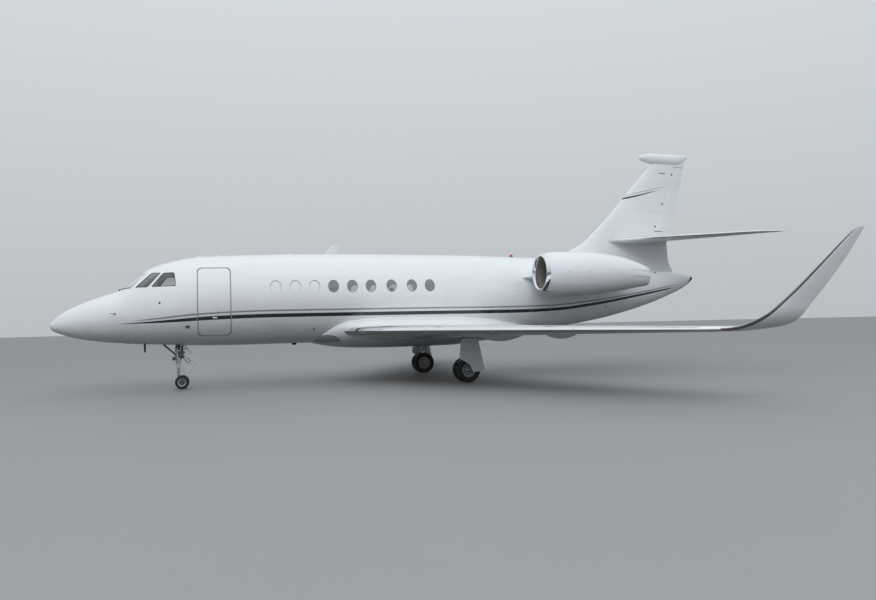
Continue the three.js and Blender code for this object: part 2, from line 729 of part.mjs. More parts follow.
function tailplaneSolid(grow) {
  const half = TAILPLANE.map(([y, lead, trail, z, thick]) => (
    sectionRing(lead, trail, y, z, thick, UP, 0, grow)));
  const other = TAILPLANE.slice(1).reverse().map(([y, lead, trail, z, thick]) => (
    sectionRing(lead, trail, -y, z, thick, UP, 0, grow)));
  return loft([...other, ...half]);
}

function finTip() {
  return loft(FIN_TIP.map(([at, high, low, half]) => Array.from({ length: FIN_TIP_SIDES }, (_, i) => {
    const angle = (2 * Math.PI * i) / FIN_TIP_SIDES;
    const mid = (high + low) / 2;
    return [NOSE_X - at, half * Math.cos(angle), mid + ((high - low) / 2) * Math.sin(angle)];
  })));
}

function makeFin() {
  const { bottom, top, hingeLow, hingeHigh } = RUDDER;
  const hinge = (z) => hingeLow + ((hingeHigh - hingeLow) * (z - bottom)) / (top - bottom);
  const radius = (z) => {
    const [, lead, trail, thick] = row(FIN, z);
    return (thick / 2) * sectionShape((hinge(z) - lead) / (trail - lead));
  };
  const post = (gap, trim) => rod([hinge(bottom + trim), 0, bottom + trim],
    [hinge(top - trim), 0, top - trim], radius(bottom) + gap, radius(top) + gap, NOSE_SIDES);
  const aft = (slide, trim) => sidePrism([[hinge(bottom + trim) + slide, bottom + trim],
    [LENGTH, bottom + trim], [LENGTH, top - trim], [hinge(top - trim) + slide, top - trim]], -WIDE, WIDE);
  const whole = finSolid(0);
  const fin = whole.add(finTip()).subtract(aft(0, 0)).subtract(post(RUNNING_GAP, -RUNNING_GAP))
    .subtract(hull(...AROUND_FIN, -GAP)).subtract(tailplaneSolid(GAP));
  addPiece('fin', fin, 'white');
  const slab = box(0, LENGTH, -WIDE, WIDE, bottom + END_GAP + HINGE_END, top - END_GAP - HINGE_END);
  const rudder = whole.intersect(aft(HINGE_SLACK, END_GAP)).add(post(0, 0).intersect(slab));
  addPiece('rudder', rudder, 'white');
}

function makeTailplane() {
  const { inner, outer, hingeInner, hingeOuter } = ELEVATOR;
  const whole = tailplaneSolid(0);
  const line = (y) => {
    const [, lead, trail, z, thick] = row(TAILPLANE, y);
    const at = hingeInner + ((hingeOuter - hingeInner) * (y - inner)) / (outer - inner);
    return [at, y, z, (thick / 2) * sectionShape((at - lead) / (trail - lead))];
  };
  const [a, b] = [line(inner), line(outer)];
  const noseOf = (gap) => rod(a, b, a[3] + gap, b[3] + gap, NOSE_SIDES);
  const bay = aftOf(a, b, inner, outer);
  let fixed = whole;
  for (const [name, side] of SIDES) {
    fixed = fixed.subtract(onSide(bay.add(noseOf(RUNNING_GAP)), side));
    const tab = whole.intersect(aftOf(slack(a), slack(b), inner + END_GAP, outer - END_GAP));
    const ends = box(0, LENGTH, inner + END_GAP + HINGE_END, outer - END_GAP - HINGE_END, WIDE, 2 * WIDE);
    addPiece(`elevator_${name}`, onSide(tab.add(noseOf(0).intersect(ends)), side), 'white');
  }
  addPiece('tailplane', fixed, 'white');
}

// Engines

// A round body on an engine's axis, from rows of station, radius and height
function aroundEngine(table, sides, grow = 0) {
  return loft(table.map(([at, radius, z]) => Array.from({ length: sides }, (_, i) => {
    const angle = (2 * Math.PI * i) / sides;
    const out = radius + grow;
    return [NOSE_X - at, ENGINE.y + out * Math.cos(angle), z + out * Math.sin(angle)];
  })));
}

function cowlSolid(grow) {
  return aroundEngine(COWL, ENGINE.sides, grow);
}

function makeNacelle(name, side) {
  const nacelle = cowlSolid(0).subtract(aroundEngine(DUCT, ENGINE.sides));
  addPiece(`nacelle_${name}`, onSide(nacelle, side), 'white');
  const block = aroundEngine(CORE, ENGINE.coreSides).add(aroundEngine(COLLAR, ENGINE.coreSides));
  addPiece(`engine_${name}`, onSide(block, side), 'grey');
  addPiece(`fan_${name}`, onSide(fanSolid(), side), 'metal');
}

function fanSolid() {
  const hub = SPINNER[SPINNER.length - 1][1];
  let fan = aroundEngine(SPINNER.map(([aft, radius]) => [FAN.station + aft, radius, ENGINE.level]),
    ENGINE.coreSides);
  for (let i = 0; i < FAN.blades; i += 1) {
    const blade = new THREE.BoxGeometry(FAN.chord, FAN.thickness, FAN.radius - hub + FAN.bury, 1, 1, 2);
    const points = blade.attributes.position;
    for (let p = 0; p < points.count; p += 1) {
      const twist = rad(FAN.rootTwist + FAN.twistPerMm * points.getZ(p));
      const [x, y] = [points.getX(p), points.getY(p)];
      points.setXY(p, x * Math.cos(twist) - y * Math.sin(twist), x * Math.sin(twist) + y * Math.cos(twist));
    }
    blade.translate(0, 0, (FAN.radius + hub - FAN.bury) / 2);
    blade.rotateX((2 * Math.PI * i) / FAN.blades);
    blade.translate(NOSE_X - FAN.station - FAN.chord / 2, ENGINE.y, ENGINE.level);
    fan = fan.add(solidOf(blade));
  }
  return fan;
}

function makePylon(name, side) {
  const whole = loft(PYLON.map(([y, lead, trail, z, thick]) => sectionRing(lead, trail, y, z, thick, UP)));
  const pylon = whole.subtract(hull(...AROUND_PYLON, -GAP)).subtract(cowlSolid(GAP));
  addPiece(`pylon_${name}`, onSide(pylon, side), 'white');
}

// Landing gear

// Columns: radius as a share of the wheel's, distance out as a share of half the tyre's width
const TYRE_SHAPE = [
  [0.56, -0.72],
  [0.84, -1],
  [0.95, -0.82],
  [1, -0.45],
  [1, 0.45],
  [0.95, 0.82],
  [0.84, 1],
  [0.56, 0.72],
  [0.56, -0.72],
];
// Columns: radius as a share of the rim's, distance out as a share of the tyre's width
const RIM_SHAPE = [
  [0, -0.2],
  [1, -0.34],
  [1, 0.34],
  [0.8, 0.3],
  [0.45, 0.05],
  [0.3, 0.4],
  [0, 0.4],
];
const AXLE_SHARE = 0.22;            // an axle's radius as a share of the rim's

function makeWheels(prefix, sideName, centre, { wheelRadius, tyreWidth, half }) {
  const rim = wheelRadius * TYRE_SHAPE[0][0];
  const [at, y, z] = centre;
  const tyre = TYRE_SHAPE.map(([radius, out]) => [radius * wheelRadius, (out * tyreWidth) / 2]);
  for (const [name, offset] of [['outer', half], ['inner', -half]]) {
    const solid = turned(tyre, [at, y + offset, z], WHEEL_SIDES);
    addPiece(`${prefix}_tyre_${name}${sideName}`, solid, 'rubber');
  }
  const disc = (offset) => turned(
    RIM_SHAPE.map(([radius, out]) => [radius * (rim - GAP), out * tyreWidth * Math.sign(offset)]),
    [at, y + offset, z], WHEEL_SIDES);
  const axle = rod([at, y - half, z], [at, y + half, z], rim * AXLE_SHARE);
  addPiece(`${prefix}_rims${sideName}`, disc(half).add(disc(-half)).add(axle), 'metal');
}

// Bars given from a strut's own place
function addBars(solid, bars, [at, y]) {
  const place = (point) => [at + point[0], y + point[1], point[2]];
  return bars.reduce((all, [from, to, radius]) => all.add(rod(place(from), place(to), radius)), solid);
}

function makeNoseGear() {
  const { station, strut, wheelRadius, half, top, collar, barrel, piston, bore } = NOSE_GEAR;
  const [[s0, z0], [s1, z1]] = NOSE_LEG_DOOR;
  const slope = [[s0, z0], [s1, z1], [s1, z1 - NOSE_DOOR.thickness], [s0, z0 - NOSE_DOOR.thickness]];
  const door = sidePrism(slope, -NOSE_DOOR.half, NOSE_DOOR.half);
  const leg = addBars(rod([strut, 0, top], [strut, 0, collar], barrel).add(door), NOSE_BARS, [strut, 0]);
  addPiece('nose_leg', leg.subtract(hull(...AROUND_NOSE_LEG, -GAP)), 'white');
  const foot = wheelRadius + FORK.rise;
  const hub = half - FORK.clear;
  const fork = rod([strut, 0, collar - RUNNING_GAP], [strut, 0, foot - FORK.overlap], piston)
    .add(rod([strut, 0, foot], [station, 0, wheelRadius], piston))
    .add(rod([station, -hub, wheelRadius], [station, hub, wheelRadius], FORK.hub));
  const hole = rod([station, -half, wheelRadius], [station, half, wheelRadius], bore);
  addPiece('nose_fork', addBars(fork, NOSE_LINKS, [strut, 0]).subtract(hole), 'white');
  makeWheels('nose', '', [station, 0, wheelRadius], NOSE_GEAR);
}

function makeMainGear(name, side) {
  const { station, y, wheelRadius, half, top, lean, collar } = MAIN_GEAR;
  const { barrel, piston, hub, bore, doorOut, doorThickness } = MAIN_GEAR;
  const foot = station + lean * FOOT_LEAN;
  const reach = half - HUB_CLEAR;
  const door = sidePrism(MAIN_LEG_DOOR, y + doorOut, y + doorOut + doorThickness);
  const strut = rod([station + lean, y, top], [foot, y, collar], barrel)
    .add(rod([foot, y, collar + PISTON_OVERLAP], [station, y, wheelRadius], piston))
    .add(rod([station, y - reach, wheelRadius], [station, y + reach, wheelRadius], hub))
    .add(door);
  const hole = rod([station, y - half, wheelRadius], [station, y + half, wheelRadius], bore);
  const leg = addBars(strut, MAIN_BARS, [station, y]).subtract(hole)
    .subtract(wingSolid(GAP)).subtract(bellySolid(GAP));
  addPiece(`main_leg_${name}`, onSide(leg, side), 'white');
  makeWheels('main', `_${name}`, [station, side * y, wheelRadius], MAIN_GEAR);
}

// Cabin

// A seat facing forwards (1) or aft (-1)
function seatSolid(at, y, facing) {
  const { half, length, height, backHeight, backThickness } = SEAT;
  const back = at + (facing * length) / 2;
  return box(at - length / 2, at + length / 2, y - half, y + half, FLOOR.level + GAP, FLOOR.level + height)
    .add(box(back - backThickness / 2, back + backThickness / 2, y - half, y + half,
      FLOOR.level + backThickness, FLOOR.level + backHeight));
}

function makeCabin() {
  const { level, thickness, start, end } = FLOOR;
  const { stations, y, railHeight, railOverhang } = CABIN_SEATS;
  const lining = hollowThrough([...COCKPIT_HOLLOW, ...CABIN_HOLLOW.slice(1)], PRESSURE_WALL + LINING_GAP);
  addPiece('cabin_floor', box(start, end, -WIDE, WIDE, level - thickness, level).intersect(lining), 'trim');
  const panel = box(PANEL.start, PANEL.end, -WIDE, WIDE, PANEL.low, PANEL.high);
  addPiece('cockpit_panel', panel.intersect(lining), 'dark');
  for (const [name, side] of SIDES) {
    const crewSeat = seatSolid(CREW_SEATS.station, side * CREW_SEATS.y, 1);
    addPiece(`crew_seat_${name}`, crewSeat.intersect(lining), 'leather');
    const rail = box(stations[0] - railOverhang, stations[stations.length - 1] + railOverhang,
      side * y - SEAT.half, side * y + SEAT.half, level + GAP, level + railHeight);
    const seats = stations.map((at, i) => seatSolid(at, side * y, i % 2 ? 1 : -1));
    const row = seats.reduce((all, one) => all.add(one), rail);
    addPiece(`cabin_seats_${name}`, row.intersect(lining), 'leather');
  }
}

makeFuselage();
for (const [name, side] of SIDES) {
  makeWing(name, side);
  makeWinglet(name, side);
  makeNacelle(name, side);
  makePylon(name, side);
  makeMainGear(name, side);
}
makeFin();
makeTailplane();
makeNoseGear();
makeCabin();

export default jet;
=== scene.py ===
from math import acos, ceil, copysign, cos, dist, pi, radians, sin, sqrt

import bpy
import numpy as np
from bpy.props import FloatProperty, FloatVectorProperty, PointerProperty
from bpy.types import Operator, Panel, PropertyGroup
from mathutils import Matrix, Vector, geometry


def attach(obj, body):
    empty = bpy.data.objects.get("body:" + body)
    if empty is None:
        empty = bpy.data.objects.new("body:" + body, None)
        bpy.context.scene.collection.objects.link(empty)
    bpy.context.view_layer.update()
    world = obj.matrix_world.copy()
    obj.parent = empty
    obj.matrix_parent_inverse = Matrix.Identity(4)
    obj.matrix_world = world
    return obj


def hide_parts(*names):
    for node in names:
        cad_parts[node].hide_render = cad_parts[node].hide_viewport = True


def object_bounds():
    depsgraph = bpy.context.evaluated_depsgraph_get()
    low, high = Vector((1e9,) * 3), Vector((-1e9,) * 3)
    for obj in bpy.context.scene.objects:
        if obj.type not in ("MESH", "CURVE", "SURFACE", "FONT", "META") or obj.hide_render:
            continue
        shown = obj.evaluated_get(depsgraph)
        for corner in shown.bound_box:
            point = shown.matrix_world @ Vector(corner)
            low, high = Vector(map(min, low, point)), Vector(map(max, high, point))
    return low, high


bl_info = {
    "name": "Business jet",
    "version": (1, 0, 0),
    "blender": (4, 5, 0),
    "location": "3D View > Sidebar > Jet",
    "description": "Builds the looks of a twin-engine business jet round its frame",
    "category": "Object",
}

# Metres. +X towards the nose, +Y to the aircraft's left, +Z up, ground at Z = 0.
# "station" is the distance aft of the nose tip.

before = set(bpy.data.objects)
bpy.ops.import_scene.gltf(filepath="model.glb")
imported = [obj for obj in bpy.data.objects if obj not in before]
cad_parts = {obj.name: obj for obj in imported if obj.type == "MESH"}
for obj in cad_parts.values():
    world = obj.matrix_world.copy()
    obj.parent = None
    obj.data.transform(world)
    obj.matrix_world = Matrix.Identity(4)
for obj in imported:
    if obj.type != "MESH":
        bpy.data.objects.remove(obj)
CAD_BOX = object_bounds()
NOSE = CAD_BOX[1].x
SIDES = (("left", 1), ("right", -1))
TURN = 2 * pi
UP, AFT = Vector((0, 0, 1)), Vector((-1, 0, 0))

# Fuselage, columns: station, top, bottom, half width, height of the widest point
FUSELAGE = (
    (0.0, 1.786, 1.784, 0.0006, 1.785), (0.004, 1.812, 1.76, 0.026, 1.785), (0.02, 1.855, 1.722, 0.066, 1.787),
    (0.08, 1.92, 1.66, 0.128, 1.79), (0.23, 2.06, 1.588, 0.232, 1.8), (0.38, 2.165, 1.53, 0.312, 1.815),
    (0.69, 2.325, 1.44, 0.445, 1.85), (1.0, 2.456, 1.38, 0.56, 1.89), (1.31, 2.566, 1.33, 0.662, 1.93),
    (1.755, 2.727, 1.288, 0.786, 1.995), (1.95, 2.889, 1.27, 0.838, 2.03), (2.14, 3.055, 1.255, 0.884, 2.065),
    (2.34, 3.198, 1.242, 0.93, 2.1), (2.53, 3.309, 1.232, 0.969, 2.135), (2.73, 3.388, 1.222, 1.005, 2.165),
    (2.93, 3.451, 1.21, 1.038, 2.195), (3.26, 3.528, 1.19, 1.083, 2.24), (3.7, 3.6, 1.17, 1.128, 2.29),
    (4.27, 3.632, 1.155, 1.172, 2.34), (4.9, 3.655, 1.15, 1.205, 2.38), (6.2, 3.685, 1.15, 1.245, 2.418),
    (7.4, 3.697, 1.15, 1.25, 2.424), (11.5, 3.665, 1.15, 1.25, 2.41), (13.0, 3.62, 1.19, 1.22, 2.4),
    (14.0, 3.59, 1.32, 1.14, 2.455), (15.0, 3.54, 1.47, 1.02, 2.505), (16.0, 3.45, 1.628, 0.86, 2.54),
    (17.0, 3.33, 1.85, 0.68, 2.59), (18.0, 3.21, 2.13, 0.47, 2.67), (18.65, 3.16, 2.363, 0.335, 2.76),
    (19.1, 3.125, 2.545, 0.225, 2.83), (19.4, 3.065, 2.71, 0.14, 2.89), (19.6, 2.96, 2.88, 0.04, 2.92),
)
RADOME_END = 1.0
COCKPIT_END = 5.15
CABIN_END = 11.5
REAR_END = 17.8
TAIL_END = 19.6
BULKHEAD = 1.55

# Belly fairing, columns as above
BELLY = (
    (6.7, 1.5, 1.16, 0.42, 1.38), (7.08, 1.68, 1.07, 0.79, 1.44), (7.4, 1.82, 1.015, 1.03, 1.53),
    (7.7, 1.93, 0.985, 1.2, 1.56), (8.2, 2.02, 0.958, 1.305, 1.54), (8.9, 2.09, 0.942, 1.345, 1.48),
    (9.5, 2.1, 0.942, 1.36, 1.44), (10.84, 2.08, 0.95, 1.35, 1.4), (11.9, 1.95, 1.04, 1.25, 1.4),
    (12.8, 1.7, 1.125, 1.0, 1.4), (13.2, 1.64, 1.17, 0.76, 1.41), (13.6, 1.62, 1.3, 0.42, 1.45),
)
# The wing root's edge on the belly fairing: station, height
ROOT_EDGE = ((7.66, 1.515), (8.0, 1.575), (8.55, 1.61), (9.3, 1.59), (10.1, 1.52))

WINDOW_STATIONS = (5.72, 6.245, 6.76, 7.275, 7.8, 8.32, 8.912, 9.499, 10.028)
SHADED_WINDOWS = 3
# Cockpit panes, columns: station or y, height
SIDE_PANES = {
    "front": ((2.15, 2.735), (2.47, 2.748), (2.795, 3.142), (2.56, 3.137)),
    "rear": ((2.56, 2.751), (3.185, 2.766), (3.132, 3.134), (2.86, 3.13)),
}
FRONT_PANES = {
    "centre": ((-0.092, 2.735), (0.092, 2.735), (0.08, 3.135), (-0.08, 3.135)),
    "side": ((0.128, 2.722), (0.596, 2.727), (0.446, 3.13), (0.115, 3.138)),
}
DOOR = {"front": 3.71, "rear": 4.56, "sill": 1.43, "head": 3.25, "corner": 0.11}

# Cheat lines, columns: station, height of the middle, share of the full width
DARK_STRIPE = (
    (1.7, 1.797, 0.0), (2.49, 1.823, 0.42), (3.119, 1.852, 0.72), (4.108, 1.905, 0.98), (5.71, 1.936, 1.0),
    (9.498, 1.931, 1.0), (12.5, 1.919, 1.0), (13.29, 1.929, 0.95), (14.14, 1.963, 0.9), (15.46, 2.101, 0.85),
    (16.87, 2.308, 0.75), (18.31, 2.539, 0.45), (18.75, 2.612, 0.0),
)
GREY_LINE = (
    (2.05, 1.862, 0.0), (2.65, 1.912, 0.8), (3.694, 2.008, 1.0), (4.963, 2.06, 1.0), (5.709, 2.07, 1.0),
    (9.489, 2.064, 1.0), (12.48, 2.052, 1.0), (13.89, 2.075, 1.0), (14.77, 2.139, 1.0), (16.13, 2.293, 0.9),
    (17.36, 2.462, 0.8), (18.41, 2.63, 0.6), (19.05, 2.735, 0.0),
)
# The two strokes on the fin, columns as above
FIN_STROKE = (
    (16.955, 5.545, 1.0), (17.3, 5.605, 0.95), (17.68, 5.69, 0.75), (18.06, 5.79, 0.45), (18.4, 5.872, 0.0),
)
FIN_LINE = (
    (17.084, 5.64, 0.6), (17.65, 5.775, 1.0), (18.223, 5.905, 0.8), (18.882, 6.06, 0.0),
)

# Wing, columns: distance from the centre line, leading edge, trailing edge,
# height of the leading edge, thickness, nose-up twist in degrees
WING = (
    (1.3, 7.672, 11.88, 1.462, 0.42, 3.0), (2.4, 8.404, 12.11, 1.458, 0.36, 2.7),
    (3.6, 9.2, 12.35, 1.453, 0.3, 2.3), (6.5, 10.98, 13.19, 1.43, 0.205, 1.4),
    (9.5, 12.82, 14.02, 1.398, 0.112, 0.5),
)
WING_ROOT = 0.95
# Where the slats' bright leading edge starts
WING_METAL_START = 1.05
# Where the winglet's dark leading edge starts, along it from the wing's tip; its dark metal is a painted dark
# reflection
WINGLET_PAINTED_REFLECTION = 0.3
WING_TIP = 9.5
FLAPS = {"inner": (1.48, 3.57), "outer": (3.6, 6.82)}
# Where the flaps and ailerons start, as shares of the chord
FLAP_FRACTION = 0.75
FLAP_GAP = 0.008
AILERON = (6.88, 9.2)
AILERON_FRACTION = 0.745
AILERON_GAP = 0.017
END_GAP = 0.022
# Flap track fairings, columns: y, start, end, top, depth, half width
FLAP_TRACKS = (
    (3.585, 10.55, 11.9, 1.29, 0.17, 0.07), (5.6, 11.53, 12.39, 1.31, 0.12, 0.05),
)

WINGLET = {"flat": 0.29, "radius": 0.5, "cant": 74}
# Columns: distance along the winglet, leading edge station, chord, thickness
WINGLET_SHAPE = (
    (0.0, 12.82, 1.2, 0.112), (0.29, 13.12, 1.12, 0.096), (0.5, 13.425, 1.03, 0.082),
    (0.72, 13.69, 0.905, 0.068), (0.935, 13.95, 0.765, 0.058), (1.3, 14.355, 0.63, 0.048),
    (1.9, 14.93, 0.455, 0.035), (2.26, 15.275, 0.295, 0.025), (2.4, 15.425, 0.215, 0.018),
    (2.465, 15.56, 0.105, 0.012),
)

# Fin, columns: height, leading edge, trailing edge, thickness
FIN = (
    (3.15, 14.1, 18.87, 0.29), (3.56, 14.5, 18.7, 0.282), (3.827, 15.07, 18.69, 0.272),
    (4.1, 15.57, 18.67, 0.262), (4.35, 15.85, 18.83, 0.254), (4.56, 16.085, 18.88, 0.248),
    (5.17, 16.69, 19.01, 0.226), (6.16, 17.61, 19.29, 0.185), (6.72, 18.145, 19.45, 0.15),
    (6.86, 18.28, 19.49, 0.14),
)
RUDDER = {"bottom": 4.47, "top": 6.66, "low": 18.232, "high": 19.068}
# Fin-tip fairing, columns: station, top, bottom, half width
FIN_TIP = (
    (17.72, 6.975, 6.925, 0.018), (17.79, 7.035, 6.87, 0.072), (18.0, 7.085, 6.8, 0.122),
    (18.4, 7.1, 6.735, 0.15), (18.8, 7.1, 6.715, 0.136), (19.2, 7.092, 6.76, 0.084),
    (19.57, 7.08, 6.985, 0.014),
)

# Tailplane, columns: distance from the centre line, leading edge, trailing edge, height, thickness
TAILPLANE = (
    (0.0, 16.3, 18.72, 4.174, 0.215), (1.2, 17.255, 19.18, 4.14, 0.17), (2.65, 18.41, 19.735, 4.095, 0.118),
    (3.55, 19.13, 20.08, 4.066, 0.084), (3.76, 19.42, 20.17, 4.058, 0.06), (3.87, 19.86, 20.23, 4.054, 0.026),
)
ELEVATOR = {"inner": 0.4, "outer": 2.65, "low": 18.19, "high": 19.32}

# Engines, at this distance from the centre line
ENGINE_Y = 1.97
ENGINE_LEVEL = 3.0
# Outside of the nacelle, columns: station, radius, height of the centre
COWL = (
    (13.095, 0.492, 3.005), (13.102, 0.506, 3.005), (13.117, 0.519, 3.005), (13.18, 0.551, 3.0),
    (13.34, 0.593, 2.985), (13.7, 0.636, 2.967), (14.4, 0.64, 2.96), (15.06, 0.588, 2.97),
    (15.72, 0.498, 2.958), (16.3, 0.372, 2.92), (16.56, 0.302, 2.888),
)
# Inside of the nacelle, columns as above
DUCT = (
    (13.102, 0.477, 3.005), (13.12, 0.462, 3.005), (13.2, 0.44, 3.0), (13.32, 0.434, 3.0), (13.62, 0.482, 3.0),
    (14.1, 0.51, 2.97), (14.4, 0.585, 2.96), (15.06, 0.54, 2.97), (15.72, 0.45, 2.958), (16.3, 0.325, 2.92),
    (16.555, 0.284, 2.889),
)
FAN_STATION = 13.78
# Pylon, columns: y, leading edge, trailing edge, height, thickness
PYLON = (
    (0.7, 12.72, 16.45, 2.89, 0.21), (1.4, 13.08, 16.35, 2.925, 0.19), (2.0, 13.45, 16.25, 2.95, 0.18),
)

NOSE_GEAR = {"station": 3.264, "strut": 3.17, "radius": 0.184, "width": 0.14, "half": 0.118}
MAIN_GEAR = {"station": 10.715, "y": 2.222, "radius": 0.33, "width": 0.168, "half": 0.162}
# Outline of a main leg's door: station, height
MAIN_LEG_DOOR = ((10.5, 1.19), (10.975, 1.19), (11.155, 0.35), (11.095, 0.3), (10.81, 0.27), (10.735, 0.48),
                 (10.43, 0.66))
# The nose leg's door lies across the aircraft, from and to: station, height
NOSE_LEG_DOOR = ((3.31, 1.2), (3.76, 0.6))

FLOOR_LEVEL = 1.64


# Curves and outlines

class Curve:
    """Smooth and without overshoot through rows whose first column rises."""

    def __init__(self, rows):
        table = np.array(rows, float)
        self.at = table[:, 0]
        self.values = table[:, 1:]
        slope = np.diff(self.values, axis=0) / np.diff(self.at)[:, None]
        product = slope[:-1] * slope[1:]
        total = np.where(product > 0, slope[:-1] + slope[1:], 1)
        inner = np.where(product > 0, 2 * product / total, 0)
        self.slopes = np.vstack([slope[:1], inner, slope[-1:]])

    def __call__(self, at):
        at = np.asarray(at, float)
        k = np.clip(np.searchsorted(self.at, at, side="right") - 1, 0, len(self.at) - 2)
        width = (self.at[k + 1] - self.at[k])[..., None]
        t = (at[..., None] - self.at[k][..., None]) / width
        return ((2 * t ** 3 - 3 * t ** 2 + 1) * self.values[k] + (t ** 3 - 2 * t ** 2 + t) * width * self.slopes[k]
                + (3 * t ** 2 - 2 * t ** 3) * self.values[k + 1] + (t ** 3 - t ** 2) * width * self.slopes[k + 1])


def straight(rows, at):
    """The row at a place, on straight lines between the rows."""
    table = np.array(rows, float)
    return [float(np.interp(at, table[:, 0], table[:, k])) for k in range(1, table.shape[1])]


def steps(start, end, spacing):
    return np.linspace(start, end, max(2, ceil((end - start) / spacing) + 1))


def rounded(x0, x1, z0, z1, corner, each=8):
    """A rectangle with round corners, as points."""
    points = []
    for cx, cz, first in ((x1 - corner, z1 - corner, 0), (x0 + corner, z1 - corner, 90),
                          (x0 + corner, z0 + corner, 180), (x1 - corner, z0 + corner, 270)):
        for i in range(each + 1):
            angle = radians(first + 90 * i / each)
            points.append((cx + corner * cos(angle), cz + corner * sin(angle)))
    return points


def oval(cx, cz, width, height, sides=36):
    angles = (TURN * i / sides for i in range(sides))
    return [(cx + width / 2 * cos(a), cz + height / 2 * sin(a)) for a in angles]


def turns(count):
    """Angles evenly round a full turn."""
    return np.linspace(0, TURN, count, endpoint=False)


def cross_ring(station, y, z, half, rise, sides):
    """An oval ring across the aircraft."""
    a = turns(sides)
    return np.stack([np.full(sides, NOSE - station), y + half * np.cos(a), z + rise * np.sin(a)], 1)


def circle(centre, across, other, radius, sides):
    """Points round a centre, in the plane of two directions."""
    return [centre + (across * cos(TURN * k / sides) + other * sin(TURN * k / sides)) * radius for k in range(sides)]


def eased(outline, corner, each=5):
    """An outline with its corners rounded to about that radius."""
    points = []
    count = len(outline)
    for i in range(count):
        before, here, after = (np.array(outline[(i + k) % count], float) for k in (-1, 0, 1))
        reach_in = min(corner, np.linalg.norm(before - here) / 2)
        reach_out = min(corner, np.linalg.norm(after - here) / 2)
        start = here + (before - here) / np.linalg.norm(before - here) * reach_in
        end = here + (after - here) / np.linalg.norm(after - here) * reach_out
        for k in range(each + 1):
            t = k / each
            points.append(tuple((1 - t) ** 2 * start + 2 * t * (1 - t) * here + t ** 2 * end))
    return points


def moved_in(outline, amount):
    """An outline moved in by an amount, or out where it is negative."""
    points = np.array(outline, float)
    before = np.roll(points, 1, axis=0)
    after = np.roll(points, -1, axis=0)
    along = after - before
    along /= np.linalg.norm(along, axis=1)[:, None]
    normal = np.stack([-along[:, 1], along[:, 0]], 1)
    area = np.sum(points[:, 0] * after[:, 1] - after[:, 0] * points[:, 1])
    return [tuple(p) for p in points + normal * amount * (1 if area > 0 else -1)]


def denser(outline, spacing):
    """More points along the straight stretches of a closed outline."""
    points = []
    for a, b in zip(outline, [*outline[1:], outline[0]]):
        count = max(1, ceil(dist(a, b) / spacing))
        points += [tuple(np.array(a) + (np.array(b) - np.array(a)) * k / count) for k in range(count)]
    return points


def inside(outline, points):
    """Which points lie inside a closed outline."""
    x, y = points[:, 0], points[:, 1]
    found = np.zeros(len(points), bool)
    for (x0, y0), (x1, y1) in zip(outline, [*outline[1:], outline[0]]):
        if y0 == y1:
            continue
        crosses = (y0 > y) != (y1 > y)
        found ^= crosses & (x < (x1 - x0) * (y - y0) / (y1 - y0) + x0)
    return found


# Shapes: points, faces and finishes gathered before they become one mesh

SHARP_ANGLE = radians(35)
ROD_EASE = 0.15


